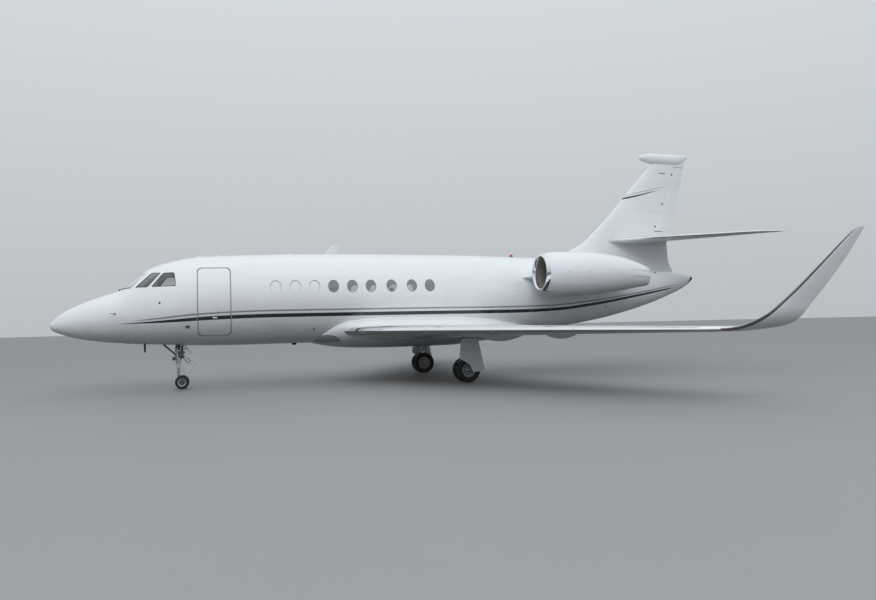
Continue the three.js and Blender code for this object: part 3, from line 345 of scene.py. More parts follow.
class Shape:
    def __init__(self):
        self.points, self.faces, self.finishes, self.normals = [], [], [], []

    def add(self, points, faces, finish, normals=None):
        """Faces of one finish, or of one each; normals are one for each point of the given faces."""
        first = len(self.points)
        self.points += [tuple(map(float, p)) for p in points]
        self.faces += [tuple(first + i for i in face) for face in faces]
        self.finishes += [finish] * len(faces) if isinstance(finish, str) else list(finish)
        self.normals += normals if normals is not None else [None] * len(faces)

    def grid(self, rows, finish, caps=True, loop=False, cap_finish=None):
        """Faces through rings of points; finish may be a function of (row, column)."""
        count, width = len(rows), len(rows[0])
        of = (lambda r, c: finish) if isinstance(finish, str) else finish
        faces, finishes = [], []
        for r in range(count if loop else count - 1):
            down = ((r + 1) % count) * width - r * width
            for c in range(width):
                a, b = r * width + c, r * width + (c + 1) % width
                faces.append((a, b, b + down, a + down))
                finishes.append(of(r, c))
        if caps and not loop:
            faces += [tuple(reversed(range(width))), tuple(range((count - 1) * width, count * width))]
            finishes += [cap_finish or of(0, 0)] * 2
        self.add(np.concatenate([np.asarray(row, float) for row in rows]), faces, finishes)

    def turned(self, profile, centre, axis, finish, sides=32, loop=False):
        """A profile of (distance along the axis, radius) turned about it."""
        axis = Vector(axis).normalized()
        across = axis.orthogonal().normalized()
        other = axis.cross(across)
        self.grid([circle(Vector(centre) + axis * along, across, other, max(radius, 1e-5), sides)
                   for along, radius in profile], finish, loop=loop)

    def rod(self, start, end, radius, finish, end_radius=None, sides=20):
        """A round bar with eased ends."""
        last = radius if end_radius is None else end_radius
        length = (Vector(end) - Vector(start)).length
        cut = min(radius, last, length / 2) * ROD_EASE
        self.turned([(0, radius - cut), (cut, radius), (length - cut, last), (length, last - cut)],
                    start, Vector(end) - Vector(start), finish, sides)

    def tube(self, path, radius, finish, sides=10):
        """A round bar along a path of points."""
        path = [Vector(p) for p in path]
        across = (path[1] - path[0]).orthogonal().normalized()
        rows = []
        for i, point in enumerate(path):
            along = (path[min(i + 1, len(path) - 1)] - path[max(i - 1, 0)]).normalized()
            across = (across - along * across.dot(along)).normalized()
            rows.append(circle(point, across, along.cross(across), radius, sides))
        self.grid(rows, finish)

    def plate(self, outline, place, low, high, finish, ease=0.004):
        """An outline of (u, v) points between two levels; place(u, v, level) gives the point in space."""
        inner = moved_in(outline, ease)
        levels = ((inner, low), (outline, low + ease), (outline, high - ease), (inner, high))
        self.grid([[place(u, v, level) for u, v in ring] for ring, level in levels], finish)

    def side_plate(self, outline, y0, y1, finish, ease=0.004):
        """A plate seen from the side, from an outline of (station, height)."""
        self.plate(outline, lambda s, z, y: (NOSE - s, y, z), y0, y1, finish, ease)

    def box(self, low, high, finish, ease=0.006):
        outline = [(low[0], low[1]), (high[0], low[1]), (high[0], high[1]), (low[0], high[1])]
        self.plate(outline, lambda x, y, z: (x, y, z), low[2], high[2], finish, ease)

    def spread(self, part, moves):
        """A part repeated at each place that a 4x4 move gives."""
        for move in moves:
            self.add([move @ Vector(p) for p in part.points], part.faces, part.finishes)
        return self

    def mirrored(self, side):
        """The same shape, or its mirror image in the aircraft's centre plane."""
        if side > 0:
            return self
        other = Shape()
        other.points = [(x, -y, z) for x, y, z in self.points]
        other.faces = [tuple(reversed(face)) for face in self.faces]
        other.finishes = list(self.finishes)
        other.normals = [None if n is None else [(x, -y, z) for x, y, z in reversed(n)] for n in self.normals]
        return other

    def piece(self, name, replaces=(), body="airframe", slot="paint"):
        """The finished object, riding on a body of the frame."""
        kept = sorted(set(self.finishes))
        mesh = bpy.data.meshes.new(name)
        mesh.from_pydata(self.points, [], self.faces)
        for finish in kept:
            mesh.materials.append(material(finish))
        mesh.polygons.foreach_set("material_index", [kept.index(f) for f in self.finishes])
        mesh.polygons.foreach_set("use_smooth", [True] * len(self.faces))
        mesh.update()
        mesh.set_sharp_from_angle(angle=SHARP_ANGLE)
        if any(self.normals):
            mesh.normals_split_custom_set([n for face, given in zip(self.faces, self.normals)
                                           for n in given or [(0, 0, 0)] * len(face)])
        made = new_object(name, mesh)
        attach(made, body)
        if replaces:
            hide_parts(*replaces)
        return made


def new_object(name, data):
    made = bpy.data.objects.new(name, data)
    bpy.context.scene.collection.objects.link(made)
    return made


def turn_about(axis, centre, count):
    """Moves that spread a part round an axis."""
    to = Matrix.Translation(Vector(centre))
    return [to @ Matrix.Rotation(TURN * k / count, 4, Vector(axis)) @ to.inverted() for k in range(count)]


# Skins

class Hull:
    """A skin through rows of station, top, bottom, half width and height of the widest point."""

    def __init__(self, rows):
        self.curve = Curve(rows)

    def point(self, station, angle, inset=0.0):
        station, angle = np.broadcast_arrays(np.asarray(station, float), np.asarray(angle, float))
        top, bottom, half, waist = np.moveaxis(self.curve(station), -1, 0)
        rise = np.where(np.sin(angle) > 0, top - waist, waist - bottom) - inset
        return np.stack([NOSE - station, (half - inset) * np.cos(angle), waist + rise * np.sin(angle)], -1)

    def normal(self, station, angle):
        reach, turn = 2e-3, 2e-3
        low, high = self.curve.at[0], self.curve.at[-1]
        fore = self.point(np.clip(np.asarray(station) - reach, low, high), angle)
        aft = self.point(np.clip(np.asarray(station) + reach, low, high), angle)
        around = self.point(station, np.asarray(angle) + turn) - self.point(station, np.asarray(angle) - turn)
        found = np.cross(around, fore - aft)
        return found / np.maximum(np.linalg.norm(found, axis=-1), 1e-12)[..., None]

    def angle(self, station, height, side=1):
        """The angle round the skin at a height on one side, 0 at the widest point and 90 degrees on top."""
        top, bottom, _, waist = np.moveaxis(self.curve(station), -1, 0)
        height = np.asarray(height, float)
        reach = np.where(height > waist, top - waist, waist - bottom)
        found = np.arcsin(np.clip((height - waist) / reach, -1, 1))
        return found if side > 0 else pi - found

    def station(self, y, height):
        """The foremost station where the skin passes through y and height."""
        low, high = self.curve.at[0], 4.0
        for _ in range(40):
            middle = (low + high) / 2
            top, bottom, half, waist = self.curve(middle)
            reach = top - waist if height > waist else waist - bottom
            if (y / half) ** 2 + ((height - waist) / reach) ** 2 > 1:
                low = middle
            else:
                high = middle
        return high


BODY_SKIN, BELLY_SKIN = Hull(FUSELAGE), Hull(BELLY)


def on_skin(points, side=1, hull=BODY_SKIN):
    """Points of (station, height) as (station, angle) on one side of a skin."""
    return [(s, float(hull.angle(s, z, side))) for s, z in points]


def on_side(outline, side):
    """A closed outline laid on one side of the fuselage, with points enough to follow its curve."""
    return on_skin(denser(outline, 0.05), side)


def front_spot(y, z):
    """The (station, angle) where the front of the fuselage passes through y and a height."""
    s = BODY_SKIN.station(y, z)
    angle = float(BODY_SKIN.angle(s, z))
    return s, angle if y >= 0 else pi - angle


def on_front(outline):
    """An outline of (y, height) seen from the front, as (station, angle)."""
    return [front_spot(y, z) for y, z in denser(outline, 0.04)]


def stripe(rows, width, start, end, side):
    """A tapering line on the skin between two stations, as an outline of (station, angle)."""
    low, high = max(start, rows[0][0]), min(end, rows[-1][0])
    if high - low < 0.01:
        return None
    at = steps(low, high, 0.06)
    middle, share = Curve(rows)(at).T
    half = np.maximum(share, 0.02) * width / 2
    upper, lower = (BODY_SKIN.angle(at, middle + sign * half, side).tolist() for sign in (1, -1))
    return [*zip(at.tolist(), upper), *zip(at[::-1].tolist(), lower[::-1])]


SKIN_REACH = 1.2                    # metres of skin to a radian, on the flattened skin
SKIN_START = -pi / 2


def triangles(rings, loose, reach):
    """Flat triangles through closed rings and loose points; points closer than the reach become one."""
    edges, first = [], 0
    for ring in rings:
        edges += [(first + i, first + (i + 1) % len(ring)) for i in range(len(ring))]
        first += len(ring)
    vertices = [Vector(p) for points in (*rings, loose) for p in points]
    points, _, faces, *_ = geometry.delaunay_2d_cdt(vertices, edges, [], 0, reach)
    return np.array([tuple(p) for p in points]), np.array([tuple(f) for f in faces])


def thickened(faces, count):
    """The faces of a sheet, the same turned over on a second layer of points, and the rim between."""
    sides = dict.fromkeys((f[k], f[(k + 1) % 3]) for f in faces for k in range(3))
    rim = [(b, a, a + count, b + count) for a, b in sides if (b, a) not in sides]
    return faces, [tuple(count + i for i in reversed(f)) for f in faces], rim


def flat_skin(spacing, sides, start, end, outlines, only):
    """The flattened skin as triangles that follow every outline: (station, angle) points and faces."""
    s_values = steps(start, end, spacing)
    w_values = np.linspace(SKIN_START, SKIN_START + TURN, sides + 1) * SKIN_REACH
    if only:
        (s0, w0), (s1, w1) = np.min(only, axis=0) - spacing, np.max(only, axis=0) + spacing
        s_values, w_values = steps(s0, s1, spacing), steps(w0, w1, spacing)
    points = np.stack([axis.ravel() for axis in np.meshgrid(s_values, w_values, indexing="ij")], 1)
    border = np.any((points == points[0]) | (points == points[-1]), axis=1)
    kept = np.ones(len(points), bool)
    rings = [np.array(outline) for outline in outlines]
    for ring in rings:
        near = np.all((points > ring.min(0) - spacing) & (points < ring.max(0) + spacing), axis=1)
        along = np.roll(ring, -1, axis=0) - ring
        length = np.maximum(np.sum(along ** 2, axis=1), 1e-12)
        for i in np.where(near & ~border)[0]:
            t = np.clip(np.sum((points[i] - ring) * along, axis=1) / length, 0, 1)
            if np.min(np.linalg.norm(ring + along * t[:, None] - points[i], axis=1)) < 0.32 * spacing:
                kept[i] = False
    return triangles(rings, points[kept], 1e-6)


def skin(shape, hull, start, end, wall, paint, lining, holes=(), marks=(), only=None, edge="seal", sunk=0.0,
         spacing=0.09, sides=112):
    """Adds a skin of a thickness, with holes and with marks of other finishes, to a shape."""
    flat = [[(s, angle * SKIN_REACH) for s, angle in ring] for ring in (*holes, *(m[0] for m in marks))]
    limit = [(s, angle * SKIN_REACH) for s, angle in only] if only else None
    points, faces = flat_skin(spacing, sides, start, end, flat + ([limit] if limit else []), limit)
    middle = points[faces].mean(axis=1)
    keep = inside(limit, middle) if limit else np.ones(len(faces), bool)
    for ring in flat[:len(holes)]:
        keep &= ~inside(ring, middle)
    finishes = np.array([paint] * len(faces), dtype=object)
    for ring, mark in zip(flat[len(holes):], marks):
        finishes[inside(ring, middle)] = mark[1]
    faces, finishes = faces[keep], finishes[keep]
    a, b, c = (points[faces[:, k]] for k in range(3))
    turned = np.cross(b - a, c - a) < 0
    faces[turned] = faces[turned][:, ::-1]
    if not only:
        # The last points round the skin become the first ones, which closes it
        first = {round(s, 5): i for i, (s, w) in enumerate(points) if abs(w - SKIN_START * SKIN_REACH) < 1e-6}
        last = (SKIN_START + TURN) * SKIN_REACH
        faces = np.array([first.get(round(s, 5), i) if abs(w - last) < 1e-6 else i
                          for i, (s, w) in enumerate(points)])[faces]
    used, faces = np.unique(faces, return_inverse=True)
    faces = faces.reshape(-1, 3)
    station, angle = points[used, 0], points[used, 1] / SKIN_REACH
    normal = hull.normal(station, angle)
    outer = hull.point(station, angle) - normal * sunk
    a, b, c = (outer[i] for i in faces[0])
    if np.sum(np.cross(b - a, c - a) * normal[faces[0, 0]]) < 0:
        faces = faces[:, ::-1]
    out_faces, in_faces, rim = thickened([tuple(f) for f in faces.tolist()], len(used))
    normals = [[tuple(normal[i]) for i in f] for f in out_faces]
    normals += [[tuple(-normal[i - len(used)]) for i in f] for f in in_faces]
    shape.add(np.concatenate([outer, outer - normal * wall]), out_faces + in_faces + rim,
              [*finishes, *[lining] * len(in_faces), *[edge] * len(rim)], normals + [None] * len(rim))


def seam(shape, surface, path, half, finish="seam", lift=0.0012):
    """A thin closed strip along a path; surface(*at) gives the surface's point and normal."""
    found = [[Vector(v) for v in surface(*at)] for at in path]
    rows = []
    for i, (point, normal) in enumerate(found):
        ahead = found[min(i + 1, len(found) - 1)][0] - found[max(i - 1, 0)][0]
        across = normal.cross(ahead).normalized() * half
        top, low = normal * lift, normal * -0.002
        rows.append([point - across + low, point - across + top, point + across + top, point + across + low])
    shape.grid(rows, finish)


def on_hull(hull):
    return lambda s, angle: (hull.point(s, angle), hull.normal(s, angle))


# Finishes. Each material has its own name; effects that several share are node groups.

class Tree:
    """A node tree with short ways to add nodes; a value is a plain one or another node's output."""

    def __init__(self, tree):
        self.nodes, self.links = tree.nodes, tree.links

    def feed(self, sockets, values):
        for label, value in values.items():
            if isinstance(value, bpy.types.NodeSocket):
                self.links.new(value, sockets[label])
            else:
                sockets[label].default_value = value

    def node(self, kind, values=None, **settings):
        made = self.nodes.new("ShaderNode" + kind)
        for name, setting in settings.items():
            setattr(made, name, setting)
        self.feed(made.inputs, values or {})
        return made

    def math(self, operation, *values, clamp=False):
        return self.node("Math", dict(enumerate(values)), operation=operation, use_clamp=clamp).outputs[0]

    def place(self, stretch=(1, 1, 1)):
        """The place on the object, squeezed along each axis."""
        place = self.node("TexCoord").outputs["Object"]
        return self.node("Mapping", {"Vector": place, "Scale": stretch}).outputs["Vector"]

    def noise(self, place, scale, detail=3.0):
        return self.node("TexNoise", {"Vector": place, "Scale": scale, "Detail": detail}).outputs["Fac"]

    def tint(self, mask, clean, other):
        """Two colours mixed by a mask."""
        values = {"Factor": mask, "A": (*clean, 1), "B": (*other, 1)}
        return self.node("Mix", values, data_type="RGBA").outputs["Result"]

    def bump(self, height, strength, distance):
        return self.node("Bump", {"Height": height, "Strength": strength, "Distance": distance}).outputs["Normal"]

    def between(self, value, low, high):
        """A 0 to 1 value stretched to a range."""
        return self.node("MapRange", {"Value": value, "To Min": low, "To Max": high}).outputs["Result"]

    def use(self, group, **values):
        """The outputs of an effect."""
        return self.node("Group", values, node_tree=group).outputs


class Surface(Tree):
    """The nodes of a new material."""

    def __init__(self, name):
        self.material = bpy.data.materials.new(name)
        self.material.use_nodes = True
        super().__init__(self.material.node_tree)

    def finished(self, values):
        """The material, once its shader has its values."""
        self.feed(self.nodes["Principled BSDF"].inputs, values)
        return self.material


def effect(name, inputs, outputs, build):
    """A node group, made once; build gets its tree and its inputs, and gives its outputs' values."""
    found = bpy.data.node_groups.get(name)
    if found:
        return found
    group = bpy.data.node_groups.new(name, "ShaderNodeTree")
    for label, default in inputs.items():
        group.interface.new_socket(label, in_out="INPUT", socket_type="NodeSocketFloat").default_value = default
    for label in outputs:
        group.interface.new_socket(label, in_out="OUTPUT", socket_type="NodeSocketFloat")
    tree = Tree(group)
    entry, leave = tree.nodes.new("NodeGroupInput"), tree.nodes.new("NodeGroupOutput")
    tree.feed(leave.inputs, build(tree, entry.outputs))
    return group


def grime():
    """Soft dirt with streaks that run aft; the mask grows on faces that point down, so undersides come out darker."""
    def build(t, given):
        mixed = t.math("MULTIPLY", t.noise(t.place((0.35, 3, 3)), 3.0), t.noise(t.place(), 0.8))
        facing = t.node("SeparateXYZ", {0: t.node("NewGeometry").outputs["Normal"]})
        down = t.math("MULTIPLY_ADD", facing.outputs["Z"], -0.5, 0.5, clamp=True)
        strength = t.math("MULTIPLY_ADD", down, given["Below"], given["Everywhere"])
        spread = t.math("MULTIPLY_ADD", mixed, 3.0, -0.25, clamp=True)
        return {"Mask": t.math("MULTIPLY", spread, strength, clamp=True)}
    return effect("Grime", {"Everywhere": 0.1, "Below": 0.3}, ("Mask",), build)


def ripple():
    """The slight unevenness of sprayed paint or of pressed sheet."""
    def build(t, given):
        place = t.place()
        fine, broad = t.noise(place, given["Fine Scale"], 2.0), t.noise(place, given["Broad Scale"], 1.0)
        return {"Height": t.math("MULTIPLY_ADD", broad, 4.0, fine)}
    return effect("Ripple", {"Fine Scale": 240.0, "Broad Scale": 2.2}, ("Height",), build)


def grain():
    """Fine pebbled grain with soft creases between."""
    def build(t, given):
        place = t.place()
        cells = t.node("TexVoronoi", {"Vector": place, "Scale": given["Scale"]}, feature="DISTANCE_TO_EDGE")
        creases = t.math("MINIMUM", cells.outputs["Distance"], 0.12)
        cloud = t.noise(place, given["Scale"], 4.0)
        return {"Height": t.math("MULTIPLY_ADD", creases, 4.0, cloud), "Variation": cloud}
    return effect("Grain", {"Scale": 260.0}, ("Height", "Variation"), build)


def brushed():
    """Fine lines round a turned or rolled metal surface."""
    def build(t, given):
        lines = t.noise(t.place((60, 1, 1)), 14.0, 2.0)
        return {"Variation": t.math("MULTIPLY_ADD", lines, given["Lines"], t.noise(t.place(), 5.0, 2.0))}
    return effect("Brushed", {"Lines": 0.6}, ("Variation",), build)


def sprayed(name, colour, dirt=(0.42, 0.4, 0.37), roughness=0.22, coat=0.6, everywhere=0.05, below=0.25):
    """Gloss aircraft paint with faint dirt, streaked aft."""
    t = Surface(name)
    mask = t.use(grime(), Everywhere=everywhere, Below=below)["Mask"]
    return t.finished({
        "Base Color": t.tint(mask, colour, dirt),
        "Roughness": t.between(mask, roughness, roughness + 0.35),
        "Normal": t.bump(t.use(ripple())["Height"], 0.06, 0.0006),
        "Coat Weight": coat, "Coat Roughness": 0.06})


def bare_metal(name, colour, dull, roughness, spread=0.14, lines=0.6):
    """Metal with brushed lines and cloudy dulling."""
    t = Surface(name)
    varied = t.use(brushed(), Lines=lines)["Variation"]
    return t.finished({"Base Color": t.tint(varied, colour, dull),
                       "Roughness": t.between(varied, roughness, roughness + spread), "Metallic": 1.0})


def grained(name, colour, other, roughness, scale=260.0, strength=0.25):
    """Leather, rubber or moulded plastic with a grain."""
    t = Surface(name)
    found = t.use(grain(), Scale=scale)
    return t.finished({
        "Base Color": t.tint(found["Variation"], colour, other),
        "Roughness": t.between(found["Variation"], roughness - 0.06, roughness + 0.1),
        "Normal": t.bump(found["Height"], strength, 0.0008)})


def pane(name, colour, alpha, dust=0.12, painted_glare=0.0):
    """Clear glass with dust and smears; the last setting is how far it turns light grey and opaque where it is seen
    aslant, a painted reflection of the sky.
    """
    t = Surface(name)
    mask = t.use(grime(), Everywhere=dust, Below=0.0)["Mask"]
    # Painted reflection: where the glass is seen aslant its colour turns light grey and it turns nearly opaque; dust
    # adds to the same mask.
    dust_and_painted_reflection = t.math("POWER", t.node("LayerWeight").outputs["Facing"], 2.0)
    dust_and_painted_reflection = t.math("MULTIPLY_ADD", dust_and_painted_reflection, painted_glare, mask, clamp=True)
    return t.finished({
        "Base Color": t.tint(dust_and_painted_reflection, colour, (0.62, 0.65, 0.67)), "Roughness": t.between(mask, 0.03, 0.18),
        "Alpha": t.between(dust_and_painted_reflection, alpha, 0.95), "IOR": 1.52, "Coat Weight": 1.0, "Coat Roughness": 0.02})


def lens(name, colour, alpha, glow=0.0):
    """A lamp's coloured or clear cover, with moulded ribs."""
    t = Surface(name)
    found = t.use(grain(), Scale=90.0)
    return t.finished({
        "Base Color": t.tint(found["Variation"], colour, [0.7 * c for c in colour]),
        "Normal": t.bump(found["Height"], 0.1, 0.0005), "Roughness": 0.08, "Alpha": alpha, "Coat Weight": 0.8,
        "Emission Color": (*colour, 1), "Emission Strength": glow})


def tread_rubber(name):
    """Black rubber with dust on it."""
    t = Surface(name)
    found = t.use(grain(), Scale=130.0)
    mask = t.use(grime(), Everywhere=0.55, Below=0.2)["Mask"]
    return t.finished({
        "Base Color": t.tint(mask, (0.014, 0.014, 0.015), (0.05, 0.048, 0.045)),
        "Roughness": t.between(found["Variation"], 0.62, 0.86), "Normal": t.bump(found["Height"], 0.3, 0.0012)})


def carpet_pile(name, colour, other):
    """Cut-pile carpet."""
    t = Surface(name)
    found = t.use(grain(), Scale=420.0)
    return t.finished({
        "Base Color": t.tint(found["Variation"], colour, other), "Normal": t.bump(found["Height"], 0.9, 0.003),
        "Roughness": 0.95, "Sheen Weight": 0.3})


def paint_settings():
    return bpy.context.scene.jet_paint


FINISHES = {
    "paint": lambda n: sprayed(n, tuple(paint_settings().white), everywhere=0.04, below=0.22),
    "paint_fitting": lambda n: sprayed(n, (0.74, 0.76, 0.78), roughness=0.32, coat=0.3, everywhere=0.08),
    "stripe_dark": lambda n: sprayed(n, tuple(paint_settings().dark_stripe), dirt=(0.12, 0.13, 0.14)),
    "stripe_grey": lambda n: sprayed(n, tuple(paint_settings().grey_line)),
    "band": lambda n: sprayed(n, (0.5, 0.51, 0.53), roughness=0.45, coat=0.1),
    "seam": lambda n: sprayed(n, (0.5, 0.52, 0.54), dirt=(0.2, 0.2, 0.2), roughness=0.5, coat=0.0, below=0.5),
    "seam_faint": lambda n: sprayed(n, (0.6, 0.62, 0.64), roughness=0.4, coat=0.1),
    "seam_dark": lambda n: sprayed(n, (0.1, 0.1, 0.11), roughness=0.5, coat=0.0),
    "edge": lambda n: sprayed(n, (0.62, 0.64, 0.66), roughness=0.45, coat=0.1, everywhere=0.1),
    "exhaust": lambda n: bare_metal(n, (0.1, 0.09, 0.085), (0.05, 0.045, 0.04), 0.5, 0.2),
    # Painted shade: the darker gear finish is near-black for the shade the legs stand in under the aircraft, and the
    # heavy dirt on both gear finishes is partly real dirt and partly painted shade.
    "gear_dark": lambda n: sprayed(n, (0.11, 0.115, 0.12), dirt=(0.04, 0.04, 0.04), roughness=0.45, coat=0.1,
                                   everywhere=0.2, below=0.3),
    "gear": lambda n: sprayed(n, (0.56, 0.58, 0.6), dirt=(0.1, 0.09, 0.08), roughness=0.36, coat=0.2,
                              everywhere=0.22, below=0.3),
    "gear_door": lambda n: sprayed(n, (0.78, 0.8, 0.82), dirt=(0.2, 0.18, 0.16), everywhere=0.12),
    # Dark metal on the winglet's leading edge: a painted dark reflection of the ground.
    "boot": lambda n: bare_metal(n, (0.34, 0.345, 0.35), (0.26, 0.265, 0.27), 0.22, 0.1),
    "polished": lambda n: bare_metal(n, (0.88, 0.89, 0.9), (0.82, 0.83, 0.84), 0.1, 0.04, 0.05),
    "chrome": lambda n: bare_metal(n, (0.84, 0.85, 0.86), (0.72, 0.73, 0.74), 0.07, 0.06),
    "steel": lambda n: bare_metal(n, (0.5, 0.5, 0.51), (0.34, 0.33, 0.32), 0.3, 0.2),
    "nozzle": lambda n: bare_metal(n, (0.36, 0.33, 0.3), (0.2, 0.17, 0.15), 0.34, 0.25),
    "titanium": lambda n: bare_metal(n, (0.4, 0.41, 0.43), (0.28, 0.29, 0.31), 0.26, 0.16, 0.3),
    "duct": lambda n: sprayed(n, (0.26, 0.26, 0.24), dirt=(0.1, 0.1, 0.1), roughness=0.4, coat=0.1),
    "rim": lambda n: sprayed(n, (0.34, 0.35, 0.36), dirt=(0.08, 0.08, 0.08), roughness=0.4, coat=0.1,
                             everywhere=0.3),
    "rim_nose": lambda n: sprayed(n, (0.74, 0.75, 0.76), dirt=(0.2, 0.2, 0.2), roughness=0.35, coat=0.2,
                                  everywhere=0.15),
    "brake": lambda n: bare_metal(n, (0.16, 0.15, 0.15), (0.08, 0.07, 0.07), 0.5, 0.25, 0.2),
    "tyre": tread_rubber,
    "rubber": lambda n: grained(n, (0.02, 0.02, 0.021), (0.045, 0.045, 0.046), 0.6),
    "seal": lambda n: grained(n, (0.05, 0.052, 0.055), (0.09, 0.09, 0.095), 0.5, strength=0.1),
    "antenna": lambda n: grained(n, (0.03, 0.03, 0.032), (0.06, 0.06, 0.06), 0.42, strength=0.08),
    # The cabin panes' light grey at a fifth opacity is partly dust haze and partly a painted reflection of the sky,
    # seen straight on as well as aslant.
    "screen_glass": lambda n: pane(n, (0.1, 0.115, 0.115), 0.08, dust=0.1, painted_glare=2.4),
    "cabin_glass": lambda n: pane(n, (0.62, 0.65, 0.67), 0.2, dust=0.12, painted_glare=1.2),
    "clear_glass": lambda n: pane(n, (0.6, 0.62, 0.64), 0.03, dust=0.02),
    "lamp_clear": lambda n: lens(n, (0.72, 0.75, 0.77), 0.55),
    "lamp_red": lambda n: lens(n, (0.5, 0.02, 0.015), 0.92, 0.1),
    "lamp_green": lambda n: lens(n, (0.02, 0.42, 0.12), 0.92),
    "lining": lambda n: grained(n, (0.66, 0.63, 0.58), (0.58, 0.55, 0.5), 0.7, 500.0, 0.15),
    "shade": lambda n: grained(n, (0.88, 0.89, 0.9), (0.84, 0.85, 0.86), 0.6, 600.0, 0.2),
    "carpet": lambda n: carpet_pile(n, (0.2, 0.17, 0.14), (0.3, 0.26, 0.22)),
    "panel": lambda n: grained(n, (0.035, 0.036, 0.038), (0.06, 0.06, 0.062), 0.55, 700.0, 0.2),
    "display": lambda n: lens(n, (0.02, 0.05, 0.09), 1.0, 0.6),
    "leather": lambda n: grained(n, (0.6, 0.52, 0.41), (0.48, 0.4, 0.3), 0.5),
    "lamp_cover": lambda n: pane(n, (0.34, 0.36, 0.35), 0.9, dust=0.1),
}


def material(finish):
    name = "jet_" + finish
    return bpy.data.materials.get(name) or FINISHES[finish](name)


# Fittings on the skin

def place(s, y, z):
    return Vector((NOSE - s, y, z))


def crown(s):
    return float(BODY_SKIN.curve(s)[0])


def keel(s):
    return float(BODY_SKIN.curve(s)[1])


def fin_of(shape, finish, base, root, tip, height, thickness, sweep, down=False):
    """A small upright blade; root and tip are chords, sweep is how far its tip lies aft."""
    rows = []
    sign = -1 if down else 1
    for k in range(9):
        t = k / 8
        soft = sqrt(max(1 - max(t - 0.75, 0) ** 2 / 0.0626, 0.02))
        chord = (root + (tip - root) * t) * soft
        lead = sweep * t + (root + (tip - root) * t - chord) / 2
        ring = []
        for j in range(20):
            u = TURN * j / 20
            x = (1 + cos(u)) / 2
            side = copysign(section_shape(x), sin(u))
            ring.append((base[0] - lead - chord * x, base[1] + side * thickness / 2 * (1 - 0.5 * t) * soft,
                         base[2] + sign * height * t))
        rows.append(ring)
    shape.grid(rows, finish)


def dome(shape, s, length, width, height, finish):
    """A low streamlined bump on the crown."""
    rows = []
    for k in range(13):
        t = (1 - cos(pi * k / 12)) / 2
        size = sin(pi * (0.02 + 0.96 * t)) ** 0.7
        at = s + length * (t - 0.5)
        rows.append([(NOSE - at, width / 2 * size * cos(TURN * j / 24),
                      crown(at) - 0.02 + (0.02 + height * size) * max(sin(TURN * j / 24), -0.1))
                     for j in range(24)])
    shape.grid(rows, finish)


# Fuselage

DOOR_BAND = 0.013
DOOR_GAP = 0.007
DOOR_EASE = 0.026
SECTION_GAP = 0.002
WINDOW = {"width": 0.295, "height": 0.35, "level": 2.705, "sunk": 0.01}
PANE_GAP = 0.003
# Half-oval covers of the landing lamps on the belly: station, height, length, depth
LAMP_COVER = (7.125, 1.14, 0.74, 0.42)


def door_outline(inset, ease=0.0):
    return rounded(DOOR["front"] + inset, DOOR["rear"] - inset, DOOR["sill"] + inset, DOOR["head"] - inset,
                   DOOR["corner"] - inset + ease)


def pane_outlines():
    """Each cockpit pane: name, outline seen from the front or the side, and how to lay it on the skin."""
    centre, aside = FRONT_PANES["centre"], FRONT_PANES["side"]
    found = [("windshield_centre", centre, on_front), ("windshield_left", aside, on_front),
             ("windshield_right", [(-y, z) for y, z in aside], on_front)]
    return found + [(f"{part}_side_window_{name}", outline, lambda points, side=side: on_side(points, side))
                    for name, side in SIDES for part, outline in SIDE_PANES.items()]


PANE_CORNER = 0.045


def window_oval(station, less=0.0):
    return oval(station, WINDOW["level"], WINDOW["width"] - less, WINDOW["height"] - less)


def stripes(start, end, sides=(1, -1)):
    found = []
    for side in sides:
        for rows, width, finish in ((GREY_LINE, paint_settings().line_width, "stripe_grey"),
                                    (DARK_STRIPE, paint_settings().stripe_width, "stripe_dark")):
            outline = stripe(rows, width, start, end, side)
            if outline:
                found.append((outline, finish))
    return found


def make_nose():
    shape = Shape()
    skin(shape, BODY_SKIN, 0, RADOME_END - SECTION_GAP, 0.012, "paint", "lining", spacing=0.05, sides=96)
    shape.piece("nose_cone_skin", ["nose_cone"])


def make_front_section():
    shape = Shape()
    start, end = RADOME_END + SECTION_GAP, COCKPIT_END - SECTION_GAP
    holes = [lay(eased(outline, PANE_CORNER)) for _, outline, lay in pane_outlines()]
    holes.append(on_side(door_outline(0), 1))
    band = on_side(moved_in(door_outline(0), -DOOR_BAND), 1)
    marks = stripes(start, end) + [(band, "band")]
    for name, outline, lay in pane_outlines():
        if not name.startswith("windshield"):
            marks.append((lay(eased(moved_in(outline, -0.007), PANE_CORNER + 0.007)), "seal"))
    skin(shape, BODY_SKIN, start, end, 0.075, "paint", "lining", holes, marks, edge="edge", spacing=0.06, sides=128)
    bulkhead(shape, BULKHEAD)
    for s in (3.774, 4.225):
        dome(shape, s, 0.22, 0.09, 0.022, "paint_fitting")
    fin_of(shape, "antenna", (NOSE - 2.29, 0, keel(2.3) + 0.02), 0.058, 0.05, 0.255, 0.026, 0.01, True)
    shape.rod(place(1.9, 0, 1.3), place(1.9, 0, 1.266), 0.045, "steel", sides=28)
    shape.piece("front_skin", ["fuselage_front"])


def bulkhead(shape, station):
    """A closed wall across the fuselage."""
    shape.grid([BODY_SKIN.point(s, turns(48), 0.09) for s in (station, station + 0.03)], "lining")


